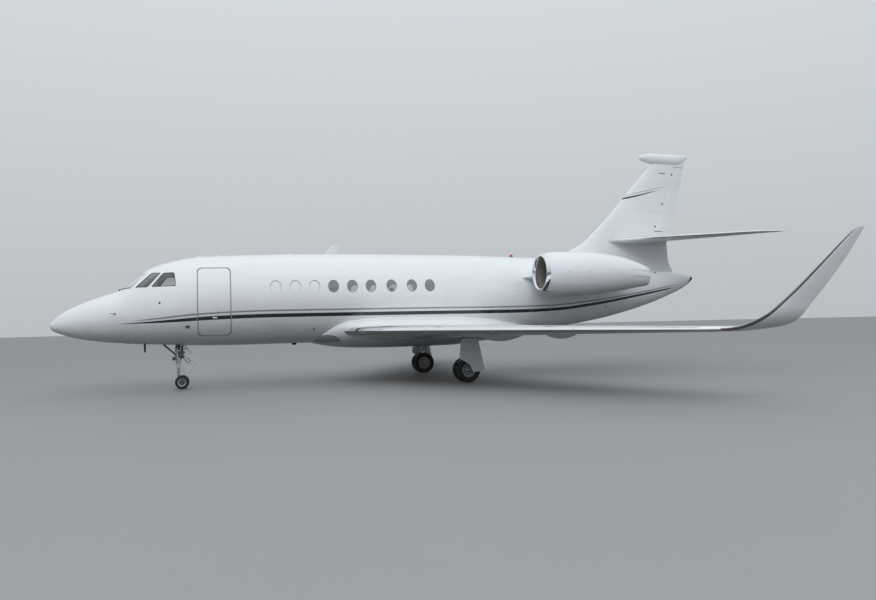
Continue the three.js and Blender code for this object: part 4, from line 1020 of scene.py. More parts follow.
def make_cabin_section():
    shape = Shape()
    start, end = COCKPIT_END + SECTION_GAP, CABIN_END - SECTION_GAP
    holes = [on_side(window_oval(at), side) for at in WINDOW_STATIONS for _, side in SIDES]
    marks = stripes(start, end)
    marks += [(on_side(window_oval(at, -0.016), side), "edge") for at in WINDOW_STATIONS for _, side in SIDES]
    skin(shape, BODY_SKIN, start, end, 0.075, "paint", "lining", holes, marks, edge="edge", spacing=0.11, sides=112)
    bulkhead(shape, CABIN_END - 0.05)
    fin_of(shape, "paint_fitting", (NOSE - 7.2, 0, crown(7.3) - 0.02), 0.4, 0.2, 0.29, 0.045, 0.26)
    dome(shape, 6.231, 0.22, 0.09, 0.022, "paint_fitting")
    fin_of(shape, "antenna", (NOSE - 6.22, 0, keel(6.3) + 0.02), 0.17, 0.1, 0.075, 0.04, 0.03, True)
    shape.piece("cabin_skin", ["fuselage_cabin"])


def make_rear_section():
    for name, node, start, end in (("rear_skin", "fuselage_rear", CABIN_END, REAR_END),
                                   ("tail_cone_skin", "tail_cone", REAR_END, TAIL_END)):
        shape = Shape()
        marks = stripes(start + SECTION_GAP, end - SECTION_GAP)
        if end == TAIL_END:
            marks.append((tail_exhaust(), "exhaust"))
        skin(shape, BODY_SKIN, start + SECTION_GAP, end - SECTION_GAP * (end != TAIL_END), 0.028, "paint", "lining",
             marks=marks, spacing=0.1, sides=112)
        if start == CABIN_END:
            beacon(shape)
        shape.piece(name, [node])


def tail_exhaust():
    """The slanted outlet that ends the tail cone, as an outline on the skin."""
    angles = np.linspace(SKIN_START, SKIN_START + TURN, 49).tolist()
    return [(TAIL_END - 0.15 + 0.11 * sin(a), a) for a in angles] + [(TAIL_END, a) for a in reversed(angles)]


def beacon(shape):
    """The red lamp on the crown, in its ring."""
    base = place(13.05, 0, crown(13.05))
    shape.rod(base - Vector((0, 0, 0.02)), base + Vector((0, 0, 0.018)), 0.062, "steel", sides=32)
    shape.turned([(0.012, 0.05), (0.042, 0.052), (0.067, 0.044), (0.084, 0.028), (0.09, 0.004)], base, (0, 0, 1),
                 "lamp_red", 32)


def make_belly():
    shape = Shape()
    marks = []
    s, z, length, depth = LAMP_COVER
    for _, side in SIDES:
        for more, finish in ((0.024, "seal"), (0.0, "lamp_cover")):
            cover = [p for p in oval(s, z, length + more, depth + more) if p[1] > z + 0.01]
            marks.append((on_skin(cover, side, BELLY_SKIN), finish))
    skin(shape, BELLY_SKIN, BELLY[0][0], BELLY[-1][0], 0.02, "paint", "lining", marks=marks, sides=96)
    edge = Curve(ROOT_EDGE)
    for _, side in SIDES:
        path = [(s, edge(s)[0]) for s in steps(ROOT_EDGE[0][0], ROOT_EDGE[-1][0], 0.1)]
        seam(shape, on_hull(BELLY_SKIN), on_skin(path, side, BELLY_SKIN), 0.006, "seam_dark")
    shape.piece("belly_skin", ["belly_fairing"])


def make_panes():
    for name, outline, lay in pane_outlines():
        shape = Shape()
        frame_width, frame_finish = (0.008, "edge") if name.startswith("windshield") else (0.02, "seal")
        whole, clear = (lay(eased(moved_in(outline, inset), PANE_CORNER)) for inset in (PANE_GAP, frame_width))
        skin(shape, BODY_SKIN, 0, 0, 0.018, frame_finish, "screen_glass", marks=[(clear, "screen_glass")], only=whole,
             edge=frame_finish, sunk=PANE_GAP, spacing=0.05)
        shape.piece(name + "_pane", [name], slot="glazing")
    for name, side in SIDES:
        shape, inner = Shape(), Shape()
        for i, at in enumerate(WINDOW_STATIONS):
            shaded = i < SHADED_WINDOWS
            glass = "clear_glass" if shaded else "cabin_glass"
            skin(shape, BODY_SKIN, 0, 0, 0.006, glass, glass, only=on_side(window_oval(at, 0.004), side),
                 sunk=WINDOW["sunk"], spacing=0.05)
            if shaded:
                skin(inner, BODY_SKIN, 0, 0, 0.006, "shade", "shade", only=on_side(window_oval(at, 0.006), side),
                     edge="shade", sunk=WINDOW["sunk"] + 0.008, spacing=0.06)
        shape.piece(f"cabin_panes_{name}", slot="glazing")
        inner.piece(f"window_shades_{name}", slot="glazing")


# Inside of the door: steps from the sill to the head
DOOR_STEPS = {"count": 5, "inset": 0.09, "depth": 0.25, "wall": 0.04}


def make_door():
    shape = Shape()
    inner = door_outline(DOOR_GAP, DOOR_EASE)
    marks = [(on_side(moved_in(inner, 0.02), 1), "paint")] + stripes(DOOR["front"], DOOR["rear"], (1,))
    skin(shape, BODY_SKIN, 0, 0, 0.055, "band", "lining", marks=marks, only=on_side(inner, 1), spacing=0.06)
    top, bottom, half, waist = BODY_SKIN.curve((DOOR["front"] + DOOR["rear"]) / 2)
    rise = (DOOR["head"] - DOOR["sill"]) / (DOOR_STEPS["count"] + 1)
    x0, x1 = NOSE - DOOR["rear"] + DOOR_STEPS["inset"], NOSE - DOOR["front"] - DOOR_STEPS["inset"]
    for i in range(1, DOOR_STEPS["count"] + 1):
        z = DOOR["sill"] + rise * i
        reach = top - waist if z > waist else waist - bottom
        y = half * sqrt(1 - ((z - waist) / reach) ** 2)
        y0, y1 = y - DOOR_STEPS["depth"], y - DOOR_STEPS["wall"]
        shape.box((x0, y0, z - 0.018), (x1, y1, z + 0.012), "polished")
        shape.box((x0 + 0.03, y0 + 0.02, z - 0.02), (x1 - 0.03, y1 - 0.02, z - 0.0175), "rubber", 0.001)
    shape.piece("door_leaf", ["cabin_door"], "door")


# Aerofoils

def section_shape(x):
    """Half thickness of a streamlined section at a share of its chord, 1 at its thickest."""
    return 10 * (0.2969 * sqrt(x) - 0.126 * x - 0.3516 * x ** 2 + 0.2843 * x ** 3 - 0.1015 * x ** 4)


class Blade:
    """A wing-like solid. place(at) gives lead point, chord, direction aft, thickness and its direction."""

    def __init__(self, place, steps_each=18):
        self.place = place
        self.shares = [(1 - cos(pi * k / steps_each)) / 2 for k in range(steps_each + 1)]

    def point(self, at, x, side=0):
        lead, chord, aft, thickness, normal = self.place(at)
        return lead + aft * (chord * x) + normal * (side * thickness / 2 * section_shape(x))

    def share(self, at, station):
        """The share of the chord at a station."""
        lead, chord, *_ = self.place(at)
        return (station - (NOSE - lead.x)) / chord

    def ring(self, at, x0=0.0, x1=1.0, nose=None, cove=None, edges=()):
        """Points round a section and, for each, its share of the chord (negative on the lower face).
        nose or cove is the radius of a round front or of a hollow back, about the line at x0 or x1."""
        lead, chord, aft, thickness, normal = self.place(at)
        inner = sorted({round(x, 5) for x in (*self.shares, *edges) if x0 + 0.012 < x < x1 - 0.012} | {x0, x1})
        found = [(self.point(at, x, 1), x) for x in reversed(inner)]

        def arc(x, radius, first, last, label):
            centre = lead + aft * (chord * x)
            for k in range(1, 9):
                a = first + (last - first) * k / 9
                found.append((centre + (normal * cos(a) - aft * sin(a)) * radius, label))
        if nose is not None:
            arc(x0, nose, 0, pi, x0)
        found += [(self.point(at, x, -1), -x) for x in inner[1 if x0 == 0 else 0:]]
        if x1 >= 1:
            found.pop()
        if cove is not None:
            top = acos(min(1.0, thickness / 2 * section_shape(cove[0]) / cove[1]))
            arc(*cove, pi - top, top, -x1)
        return [list(column) for column in zip(*found)]

    def loft(self, shape, places, finish, metal=0.0, metal_low=0.0, bare="polished", **shape_of):
        """A closed solid through sections; the front up to a share of the chord is bare metal, polished unless
        another finish is given.
        """
        rings = []
        edges = tuple(e for e in (metal, metal_low) if e)
        for at in places:
            given = {key: value(at) if callable(value) else value for key, value in shape_of.items()}
            rings.append(self.ring(at, edges=edges, **given))
        labels = rings[0][1]

        def of(_, c):
            a, b = labels[c], labels[(c + 1) % len(labels)]
            middle = (abs(a) + abs(b)) / 2
            limit = metal if a + b > 0 or (a == 0 and b == 0) else metal_low
            return bare if middle < limit else finish
        shape.grid([points for points, _ in rings], of, cap_finish=finish)

    def on(self, side):
        """The surface's point and normal at (place, share of chord), for seams."""
        def found(at, x):
            low, high = max(x - 0.004, 0.0), min(x + 0.004, 1.0)
            point = self.point(at, x, side)
            along = self.point(at, high, side) - self.point(at, low, side)
            across = self.point(at + 0.005, x, side) - self.point(at - 0.005, x, side)
            normal = along.cross(across).normalized()
            outward = self.place(at)[4] * side
            return point, normal if normal.dot(outward) > 0 else -normal
        return found


def wing_place(y):
    lead, trail, z, thickness, twist = straight(WING, y)
    (y0, *root), (y1, *next_row) = WING[:2]
    if y < y0:
        lead, trail = (a - (y0 - y) * (b - a) / (y1 - y0) for a, b in zip(root[:2], next_row))
    return place(lead, y, z), trail - lead, Vector((-1, 0, -sin(radians(twist)))), thickness, UP


def level_place(rows):
    """Places along a level blade with straight edges between its rows."""
    def found(y):
        lead, trail, z, thickness = straight(rows, abs(y))
        return place(lead, y, z), trail - lead, AFT, thickness, UP
    return found


FIN_CURVE, WINGLET_CURVE = Curve(FIN), Curve(WINGLET_SHAPE)


def fin_place(z):
    lead, trail, thickness = FIN_CURVE(z)
    return place(lead, 0, z), trail - lead, AFT, thickness, Vector((0, 1, 0))


def winglet_place(along):
    lead, chord, thickness = WINGLET_CURVE(along)
    flat, radius, cant = WINGLET["flat"], WINGLET["radius"], radians(WINGLET["cant"])
    bend = min(max((along - flat) / radius, 0), cant)
    rest = max(along - flat - radius * cant, 0)
    out = min(along, flat) + radius * sin(bend) + rest * cos(bend)
    rise = radius * (1 - cos(bend)) + rest * sin(bend)
    return place(lead, WING_TIP + out, WING[-1][3] + rise), chord, AFT, thickness, Vector((0, -sin(bend), cos(bend)))


WING_BLADE = Blade(wing_place, 24)
FIN_BLADE = Blade(fin_place, 22)
TAIL_BLADE = Blade(level_place(TAILPLANE), 20)
PYLON_BLADE = Blade(level_place(PYLON), 18)
WINGLET_BLADE = Blade(winglet_place, 20)
COVE_GAP = 0.0065


class Hinged:
    """A control surface on a straight hinge line across a blade, and the bay that it turns in."""

    def __init__(self, blade, low, high, station_low, station_high):
        self.blade, self.low, self.high = blade, low, high
        self.ends = (station_low, station_high)

    def share(self, at):
        part = (at - self.low) / (self.high - self.low)
        return self.blade.share(at, self.ends[0] + (self.ends[1] - self.ends[0]) * part)

    def radius(self, at):
        return self.blade.place(at)[3] / 2 * section_shape(self.share(at))

    def bay(self, shape, places, finish, **metal):
        """The fixed part ahead of the surface, hollowed round its nose."""
        def back(at):
            radius = self.radius(at)
            chord = self.blade.place(at)[1]
            return self.share(at) - sqrt((radius + COVE_GAP) ** 2 - radius ** 2) / chord
        self.blade.loft(shape, places, finish, x1=back,
                        cove=lambda at: (self.share(at), self.radius(at) + COVE_GAP), **metal)

    def surface(self, shape, trim, finish, count=14):
        places = np.linspace(self.low + trim, self.high - trim, count)
        self.blade.loft(shape, places, finish, x0=self.share, nose=self.radius)


def wing_station(y, fraction):
    lead, chord, *_ = WING_BLADE.place(y)
    return NOSE - lead.x + chord * fraction


AILERON_HINGE = Hinged(WING_BLADE, *AILERON, *(wing_station(y, AILERON_FRACTION) for y in AILERON))
RUDDER_HINGE = Hinged(FIN_BLADE, RUDDER["bottom"], RUDDER["top"], RUDDER["low"], RUDDER["high"])
ELEVATOR_HINGE = Hinged(TAIL_BLADE, ELEVATOR["inner"], ELEVATOR["outer"], ELEVATOR["low"], ELEVATOR["high"])
# The slats end at these shares of the chord, above and below
SLAT_SHARE = 0.085
SLAT_LOW = 0.035


def flap_cut(span, extra=0.0):
    """The share of the chord at a flap's front line, moved aft by a distance."""
    y0, y1 = span
    s0, s1 = (wing_station(y, FLAP_FRACTION) for y in span)
    return lambda y: WING_BLADE.share(y, s0 + (s1 - s0) * (y - y0) / (y1 - y0) + extra)


def spans(low, high, rows=(), step=0.5):
    """Places between two, through the rows' own places."""
    marks = [low, *(row[0] for row in rows if low + 0.05 < row[0] < high - 0.05), high]
    found = []
    for a, b in zip(marks, marks[1:]):
        found += steps(a, b, step).tolist()[:-1]
    return [*found, high]


def seam_on(shape, blade, path, finish="seam", half=0.003, faces=(1,)):
    for side in faces:
        seam(shape, blade.on(side), path, half, finish)


def wing_shape():
    shape = Shape()
    metal = {"metal": SLAT_SHARE, "metal_low": SLAT_LOW}
    WING_BLADE.loft(shape, steps(WING_ROOT, WING_METAL_START, 0.1), "paint")
    full = ((WING_METAL_START, FLAPS["inner"][0]), (FLAPS["inner"][1], FLAPS["outer"][0]),
            (FLAPS["outer"][1], AILERON[0]), (AILERON[1], WING_TIP))
    for low, high in full:
        WING_BLADE.loft(shape, spans(low, high, WING), "paint", **metal)
    for span in FLAPS.values():
        WING_BLADE.loft(shape, spans(*span, WING), "paint", x1=flap_cut(span), **metal)
    AILERON_HINGE.bay(shape, spans(*AILERON, WING), "paint", **metal)
    wing_seams(shape)
    for track in FLAP_TRACKS:
        track_fairing(shape, *track)
    shape.rod(place(9.95, 3.0, 1.28), place(9.95, 3.0, 1.212), 0.045, "steel", sides=28)
    return shape


# Spoilers: from and to, front edge as a share of the chord
SPOILERS = ((2.3, 3.5, 0.6), (3.7, 5.15, 0.6), (5.2, 6.6, 0.62))
SPOILER_REAR = 0.742
SLAT_ENDS = (1.7, 3.56, 5.35, 7.2, 9.1)
TANK_LINES = (2.9, 4.6, 6.2, 7.9)
TANK_COVERS = (3.3, 4.1, 4.9, 5.7, 6.5, 7.3)


def wing_seams(shape):
    """Panel lines of the slats, spoilers and tank panels."""
    for a, b in zip(SLAT_ENDS, SLAT_ENDS[1:]):
        for side, share in ((1, SLAT_SHARE), (-1, SLAT_LOW)):
            seam_on(shape, WING_BLADE, [(y, share + 0.001) for y in spans(a, b, WING, 0.4)], faces=(side,))
    for y in SLAT_ENDS:
        seam_on(shape, WING_BLADE, [(y, x) for x in np.linspace(0.002, SLAT_SHARE, 6)])
        seam_on(shape, WING_BLADE, [(y, x) for x in np.linspace(0.002, SLAT_LOW, 5)], faces=(-1,))
    for y0, y1, front in SPOILERS:
        corners = [(y0, front), (y1, front), (y1, SPOILER_REAR), (y0, SPOILER_REAR), (y0, front)]
        for a, b in zip(corners, corners[1:]):
            seam_on(shape, WING_BLADE, [[p + (q - p) * t for p, q in zip(a, b)] for t in np.linspace(0, 1, 6)])
    for y in TANK_LINES:
        seam_on(shape, WING_BLADE, [(y, x) for x in np.linspace(SLAT_SHARE + 0.02, 0.58, 12)], half=0.0015,
                faces=(1, -1))
    for y in TANK_COVERS:
        chord = WING_BLADE.place(y)[1]
        path = [(y + 0.14 * cos(t), 0.33 + 0.075 / chord * sin(t)) for t in np.linspace(0, TURN, 25)]
        seam_on(shape, WING_BLADE, path, half=0.0015, faces=(-1,))


def track_fairing(shape, y, start, end, level, depth, half):
    """A pod under the wing that covers a flap's track."""
    sections, sides = 22, 28
    rows = []
    for k in range(sections):
        t = (1 - cos(pi * k / (sections - 1))) / 2
        size = sin(pi * (0.02 + 0.96 * t)) ** 0.85
        angles = (TURN * i / sides for i in range(sides))
        rows.append([(NOSE - start - (end - start) * t, y + half * size * cos(a),
                      level + (0.012 if sin(a) > 0 else depth * size) * sin(a)) for a in angles])
    shape.grid(rows, "paint")


def make_wings():
    whole = wing_shape()
    winglet = Shape()
    tip = WINGLET_SHAPE[-1][0]
    WINGLET_BLADE.loft(winglet, np.linspace(0.002, WINGLET_PAINTED_REFLECTION, 12), "paint", metal=0.02, metal_low=0.035)
    # From here to its tip the winglet's leading edge is the dark metal that is a painted reflection.
    WINGLET_BLADE.loft(winglet, [*np.linspace(WINGLET_PAINTED_REFLECTION, 0.99 * tip, 36), tip], "paint", metal=0.02,
                       metal_low=0.1, bare="boot")
    seam_on(winglet, WINGLET_BLADE, [(WINGLET_PAINTED_REFLECTION, x) for x in np.linspace(0.01, 0.99, 24)], half=0.002,
            faces=(1, -1))
    lamp = [WINGLET_BLADE.point(at, 0.0) + AFT * 0.004 for at in np.linspace(0.38, 0.46, 5)]
    for name, side in SIDES:
        whole.mirrored(side).piece(f"wing_skin_{name}", [f"wing_{name}"])
        made = Shape()
        made.add(winglet.points, winglet.faces, winglet.finishes)
        made.tube(lamp, 0.006, "lamp_red" if side > 0 else "lamp_green", 12)
        made.mirrored(side).piece(f"winglet_skin_{name}", [f"winglet_{name}"])
        for part, span in FLAPS.items():
            flap = Shape()
            places = spans(span[0] + FLAP_GAP, span[1] - FLAP_GAP, WING)
            WING_BLADE.loft(flap, places, "paint", x0=flap_cut(span, FLAP_GAP))
            flap.mirrored(side).piece(f"flap_skin_{part}_{name}", [f"flap_{part}_{name}"])
        aileron = Shape()
        AILERON_HINGE.surface(aileron, AILERON_GAP, "paint")
        aileron.mirrored(side).piece(f"aileron_skin_{name}", [f"aileron_{name}"], f"aileron_{name}")


# Tail

# The seam round the tailplane's root: station, height
TAIL_ROOT = ((16.45, 4.2), (16.62, 4.42), (16.92, 4.52), (17.45, 4.52))
HINGE_COVERS = (6.41, 5.405, 4.65)
# Slots in the fin: height, start, end, half width
FIN_SLOTS = ((6.44, 18.42, 18.66, 0.014), (4.5, 18.18, 18.48, 0.008))


def fin_marks(shape):
    """The two painted strokes on each face of the fin, as thin films that start at its leading edge."""
    for rows, width, finish in ((FIN_STROKE, 0.056, "stripe_dark"), (FIN_LINE, 0.02, "stripe_grey")):
        at = steps(rows[0][0], rows[-1][0], 0.02)
        middle, share = Curve(rows)(at).T
        edges = []
        for sign in (1, -1):
            height = middle + sign * np.maximum(share, 0.03) * width / 2
            lead = FIN_CURVE(height)[:, 0]
            path = np.stack([np.maximum(at, lead) + 0.001, height])[:, max(int(np.argmax(at > lead)) - 1, 0):]
            count = path.shape[1]
            edges.append([[np.interp(k, range(count), row) for row in path] for k in np.linspace(0, count - 1, 40)])
        for side in (1, -1):
            made = []
            for pair in zip(*edges):
                (a, na), (b, nb) = (FIN_BLADE.on(side)(z, max(FIN_BLADE.share(z, s), 0.0006)) for s, z in pair)
                made.append([a + na * 0.0012, b + nb * 0.0012, b - nb * 0.002, a - na * 0.002])
            shape.grid(made, finish)


def fin_fittings(shape):
    """The rudder's hinge covers, slots in the fin and the lines round the tailplane's root."""
    for side in (1, -1):
        on = FIN_BLADE.on(side)
        for z in HINGE_COVERS:
            point, normal = on(z, RUDDER_HINGE.share(z) - 0.035)
            shape.rod(point - normal * 0.01, point + normal * 0.012, 0.03, "seam_dark", sides=16)
        for z, s0, s1, half in FIN_SLOTS:
            seam(shape, on, [(z, FIN_BLADE.share(z, s)) for s in (s0, (s0 + s1) / 2, s1)], half, "seam_dark", 0.002)
        seam(shape, on, [(z, FIN_BLADE.share(z, s)) for s, z in TAIL_ROOT], 0.003, "seam_faint")
        seam(shape, on, [(RUDDER["top"] + 0.008, x) for x in np.linspace(0.66, 0.98, 9)], 0.006, "seam_dark")


def make_fin():
    shape = Shape()
    FIN_BLADE.loft(shape, steps(FIN[0][0], RUDDER["bottom"], 0.06), "paint")
    RUDDER_HINGE.bay(shape, steps(RUDDER["bottom"], RUDDER["top"], 0.15), "paint")
    FIN_BLADE.loft(shape, steps(RUDDER["top"], FIN[-1][0], 0.05), "paint")
    fin_marks(shape)
    tip = Curve(FIN_TIP)
    rows = []
    for s in np.linspace(FIN_TIP[0][0], FIN_TIP[-1][0], 44):
        top, bottom, half = tip(s)
        rows.append(cross_ring(s, 0, (top + bottom) / 2, half, (top - bottom) / 2, 32))
    shape.grid(rows, "paint")
    fin_fittings(shape)
    shape.piece("fin_skin", ["fin"])
    rudder = Shape()
    RUDDER_HINGE.surface(rudder, END_GAP, "paint", 20)
    rudder.piece("rudder_skin", ["rudder"], "rudder")


def make_tailplane():
    shape = Shape()
    metal = {"metal": 0.09, "metal_low": 0.02}
    inner, outer, tip = ELEVATOR["inner"], ELEVATOR["outer"], TAILPLANE[-1][0]
    half = Shape()
    TAIL_BLADE.loft(half, spans(0.0, inner, TAILPLANE, 0.1), "paint", **metal)
    ELEVATOR_HINGE.bay(half, spans(inner, outer, TAILPLANE, 0.3), "paint", **metal)
    TAIL_BLADE.loft(half, spans(outer, tip, TAILPLANE, 0.08), "paint", **metal)
    seam_on(half, TAIL_BLADE, [(y, 0.091) for y in np.linspace(0.3, 3.4, 12)], "seam_faint", 0.002)
    for y in (0.45, 1.5, 2.6):
        seam_on(half, TAIL_BLADE, [(y, x) for x in np.linspace(0.09, 0.6, 10)], "seam_faint", 0.002, (1, -1))
    for _, side in SIDES:
        one = half.mirrored(side)
        shape.add(one.points, one.faces, one.finishes)
    shape.piece("tailplane_skin", ["tailplane"])
    for name, side in SIDES:
        surface = Shape()
        ELEVATOR_HINGE.surface(surface, END_GAP, "paint")
        surface.mirrored(side).piece(f"elevator_skin_{name}", [f"elevator_{name}"], f"elevator_{name}")


# Engines

def engine_ring(station, radius, z, sides=96):
    return cross_ring(station, ENGINE_Y, z, radius, radius, sides)


LIP_END = 13.2
DUCT_END = 14.1
NOZZLE_START = 15.9
COWL_CURVE = Curve(COWL)
# The core behind the fan, columns: station, radius, height
CORE = (
    (13.93, 0.255, 2.985), (14.0, 0.3, 2.98), (14.3, 0.335, 2.965), (15.2, 0.315, 2.967), (15.7, 0.26, 2.96),
    (16.1, 0.18, 2.95), (16.5, 0.06, 2.915), (16.56, 0.01, 2.91),
)
# Round spots on the nacelle: station, angle, a measure of the size
COWL_SPOTS = (
    (13.725, 0.05, 0.05), (14.405, 0.03, 0.05), (15.49, -0.13, 0.05), (14.1, -1.2, 0.12), (14.1, -1.9, 0.12),
)


def on_cowl(s, angle):
    """The nacelle's surface at (station, angle), for seams."""
    radius, z = COWL_CURVE(s)
    slope = (COWL_CURVE(s + 0.01)[0] - radius) / 0.01
    out = Vector((0, cos(angle), sin(angle)))
    return place(s, ENGINE_Y, z) + out * radius, (out + Vector((slope, 0, 0))).normalized()


def nacelle_shape():
    shape = Shape()
    duct, front = Curve(DUCT), COWL[0][0]
    outer = [*(front + d for d in (0, 0.003, 0.007, 0.014, 0.022, 0.04, 0.06, 0.08)), LIP_END,
             *np.linspace(LIP_END + 0.03, COWL[-1][0], 50)]
    inner = [*np.linspace(DUCT[-1][0], LIP_END + 0.03, 44), LIP_END,
             *(front + d for d in (0.08, 0.06, 0.04, 0.025, 0.015, 0.008))]
    places = [*outer, *(-s for s in inner)]

    def of(r, _):
        a, b = places[r], places[(r + 1) % len(places)]
        middle = (abs(a) + abs(b)) / 2
        if middle < LIP_END:
            return "polished"
        if a > 0 and b > 0:
            return "paint"
        return "duct" if middle < DUCT_END or middle > NOZZLE_START else "nozzle"
    shape.grid([engine_ring(s, *COWL_CURVE(s)) for s in outer] + [engine_ring(s, *duct(s)) for s in inner], of,
               loop=True)
    for s in (LIP_END + 0.003, 13.55, 15.0, 15.86):
        seam(shape, on_cowl, [(s, a) for a in np.linspace(0, TURN, 65)], 0.002, "seam_faint")
    for degrees in (82, -88, 97):
        seam(shape, on_cowl, [(s, radians(degrees)) for s in np.linspace(13.55, 15.0, 24)], 0.002, "seam_faint")
    for side in (0, pi):
        for low, high in ((0.21, 0.33), (-0.2, -0.22)):
            path = zip(np.linspace(15.88, 16.555, 12), side + low + (high - low) * np.linspace(0, 1, 12))
            seam(shape, on_cowl, path, 0.005, "seam_dark")
    seam(shape, on_cowl, [(s, -1.25) for s in (13.19, 13.25, 13.31)], 0.022, "seam_dark")
    for s, angle, size in COWL_SPOTS:
        point, normal = on_cowl(s, angle)
        shape.rod(point - normal * 0.01, point + normal * 0.002, size / 2.6, "seam", sides=16)
    return shape


def vane_ring(shape, count, station, inner, outer, chord, twist, thickness, finish, lean=0.0, bend=0.35):
    """Curved blades round the engine's axis."""
    one = Shape()
    rows = []
    for k in range(7):
        t = k / 6
        radius = inner + (outer - inner) * t
        angle = radians(twist[0] + (twist[1] - twist[0]) * t)
        width = chord * (1 + 0.35 * sin(pi * min(t * 1.1, 1)) * (lean > 0))
        ring = []
        for j in range(12):
            u = j / 12 * 2 * pi
            along = cos(u) * width / 2
            across = sin(u) * thickness / 2 * (1 - 0.55 * t) + bend * thickness * (1 - cos(2 * u)) / 2
            x = along * cos(angle) - across * sin(angle)
            y = along * sin(angle) + across * cos(angle) + lean * t ** 2
            ring.append((NOSE - station - x, ENGINE_Y + y, ENGINE_LEVEL + sqrt(max(radius ** 2 - y ** 2, 0))))
        rows.append(ring)
    one.grid(rows, finish)
    shape.spread(one, turn_about((1, 0, 0), (0, ENGINE_Y, ENGINE_LEVEL), count))


# The fan's blades: how many, radius at root and tip, chord and thickness
FAN = {"blades": 22, "root": 0.14, "tip": 0.47, "chord": 0.13, "thickness": 0.014}
# Distance aft of the fan, radius
SPINNER = ((-0.205, 0.001), (-0.2, 0.02), (-0.185, 0.038), (-0.15, 0.066), (-0.1, 0.098), (-0.04, 0.126),
           (0.0, 0.138), (0.03, 0.146), (0.08, 0.15), (0.085, 0.14))


def pylon_shape():
    """From inside the fuselage to just inside the nacelle's skin, all along the chord."""
    shares = PYLON_BLADE.shares
    around = [(x, 1) for x in reversed(shares)] + [(x, -1) for x in shares[1:-1]]
    rows = []
    for t in np.linspace(0, 1, 12):
        ring = []
        for x, face in around:
            y = 1.3
            for _ in range(6):
                lead, chord, *_ = PYLON_BLADE.place(y)
                station = min(max(NOSE - lead.x + chord * x, LIP_END + 0.15), 16.5)
                end = ENGINE_Y - float(COWL_CURVE(station)[0]) + 0.02
                y = PYLON[0][0] + (end - PYLON[0][0]) * t
            ring.append(PYLON_BLADE.point(y, x, face))
        rows.append(ring)
    shape = Shape()
    shape.grid(rows, "paint")
    seam_on(shape, PYLON_BLADE, [(y, 0.3) for y in np.linspace(1.05, 1.45, 5)], half=0.002, faces=(1, -1))
    seam_on(shape, PYLON_BLADE, [(y, 0.62) for y in np.linspace(0.9, 1.5, 5)], half=0.002, faces=(1, -1))
    return shape


def make_engines():
    nacelle, fan, block, pylon = nacelle_shape(), Shape(), Shape(), pylon_shape()
    fan.turned(SPINNER, (NOSE - FAN_STATION, ENGINE_Y, ENGINE_LEVEL), (-1, 0, 0), "titanium", 48)
    vane_ring(fan, FAN["blades"], FAN_STATION + 0.02, FAN["root"], FAN["tip"], FAN["chord"], (25, 62),
              FAN["thickness"], "titanium", lean=0.02)
    vane_ring(block, 30, 14.03, 0.26, 0.5, 0.11, (12, 12), 0.012, "duct")
    core = Curve(CORE)
    block.grid([engine_ring(s, *core(s), 48) for s in np.linspace(CORE[0][0], CORE[-1][0], 30)],
               lambda r, _: "duct" if r < 6 else "nozzle")
    for name, side in SIDES:
        nacelle.mirrored(side).piece(f"nacelle_skin_{name}", [f"nacelle_{name}"])
        fan.mirrored(side).piece(f"fan_blades_{name}", [f"fan_{name}"], f"fan_{name}", "fan_metal")
        block.mirrored(side).piece(f"engine_core_{name}", [f"engine_{name}"], slot="engine_metal")
        pylon.mirrored(side).piece(f"pylon_skin_{name}", [f"pylon_{name}"])


# Landing gear

def pierced(shape, outline, holes, lay, low, high, finish, rim_finish):
    """A flat plate with holes; lay(u, v, level) gives the point in space."""
    points, faces = triangles([outline, *holes], [], 1e-7)
    middle = points[faces].mean(axis=1)
    keep = inside(outline, middle)
    for ring in holes:
        keep &= ~inside(ring, middle)
    front, back, rim = thickened([tuple(f) for f in faces[keep].tolist()], len(points))
    shape.add([lay(u, v, level) for level in (high, low) for u, v in points], front + back + rim,
              [finish] * 2 * len(front) + [rim_finish] * len(rim))


# One half of a tyre, columns: distance out as a share of half its width, radius as a share of the wheel's
TYRE_PROFILE = (
    (0.15, 1.0), (0.165, 0.978), (0.205, 0.978), (0.22, 1.0), (0.49, 0.996), (0.505, 0.975), (0.545, 0.975),
    (0.56, 0.994), (0.7, 0.985), (0.82, 0.965), (0.93, 0.925), (0.985, 0.86), (1.0, 0.78), (0.96, 0.68),
    (0.86, 0.6), (0.72, 0.565),
)


def tyre(shape, centre, radius, width):
    half = [(out * width / 2, r * radius) for out, r in TYRE_PROFILE]
    shape.turned([*((-out, r) for out, r in reversed(half)), *half], centre, (0, 1, 0), "tyre", 72, loop=True)


# A rim's radius as a share of its wheel's
RIM_SHARE = 0.56


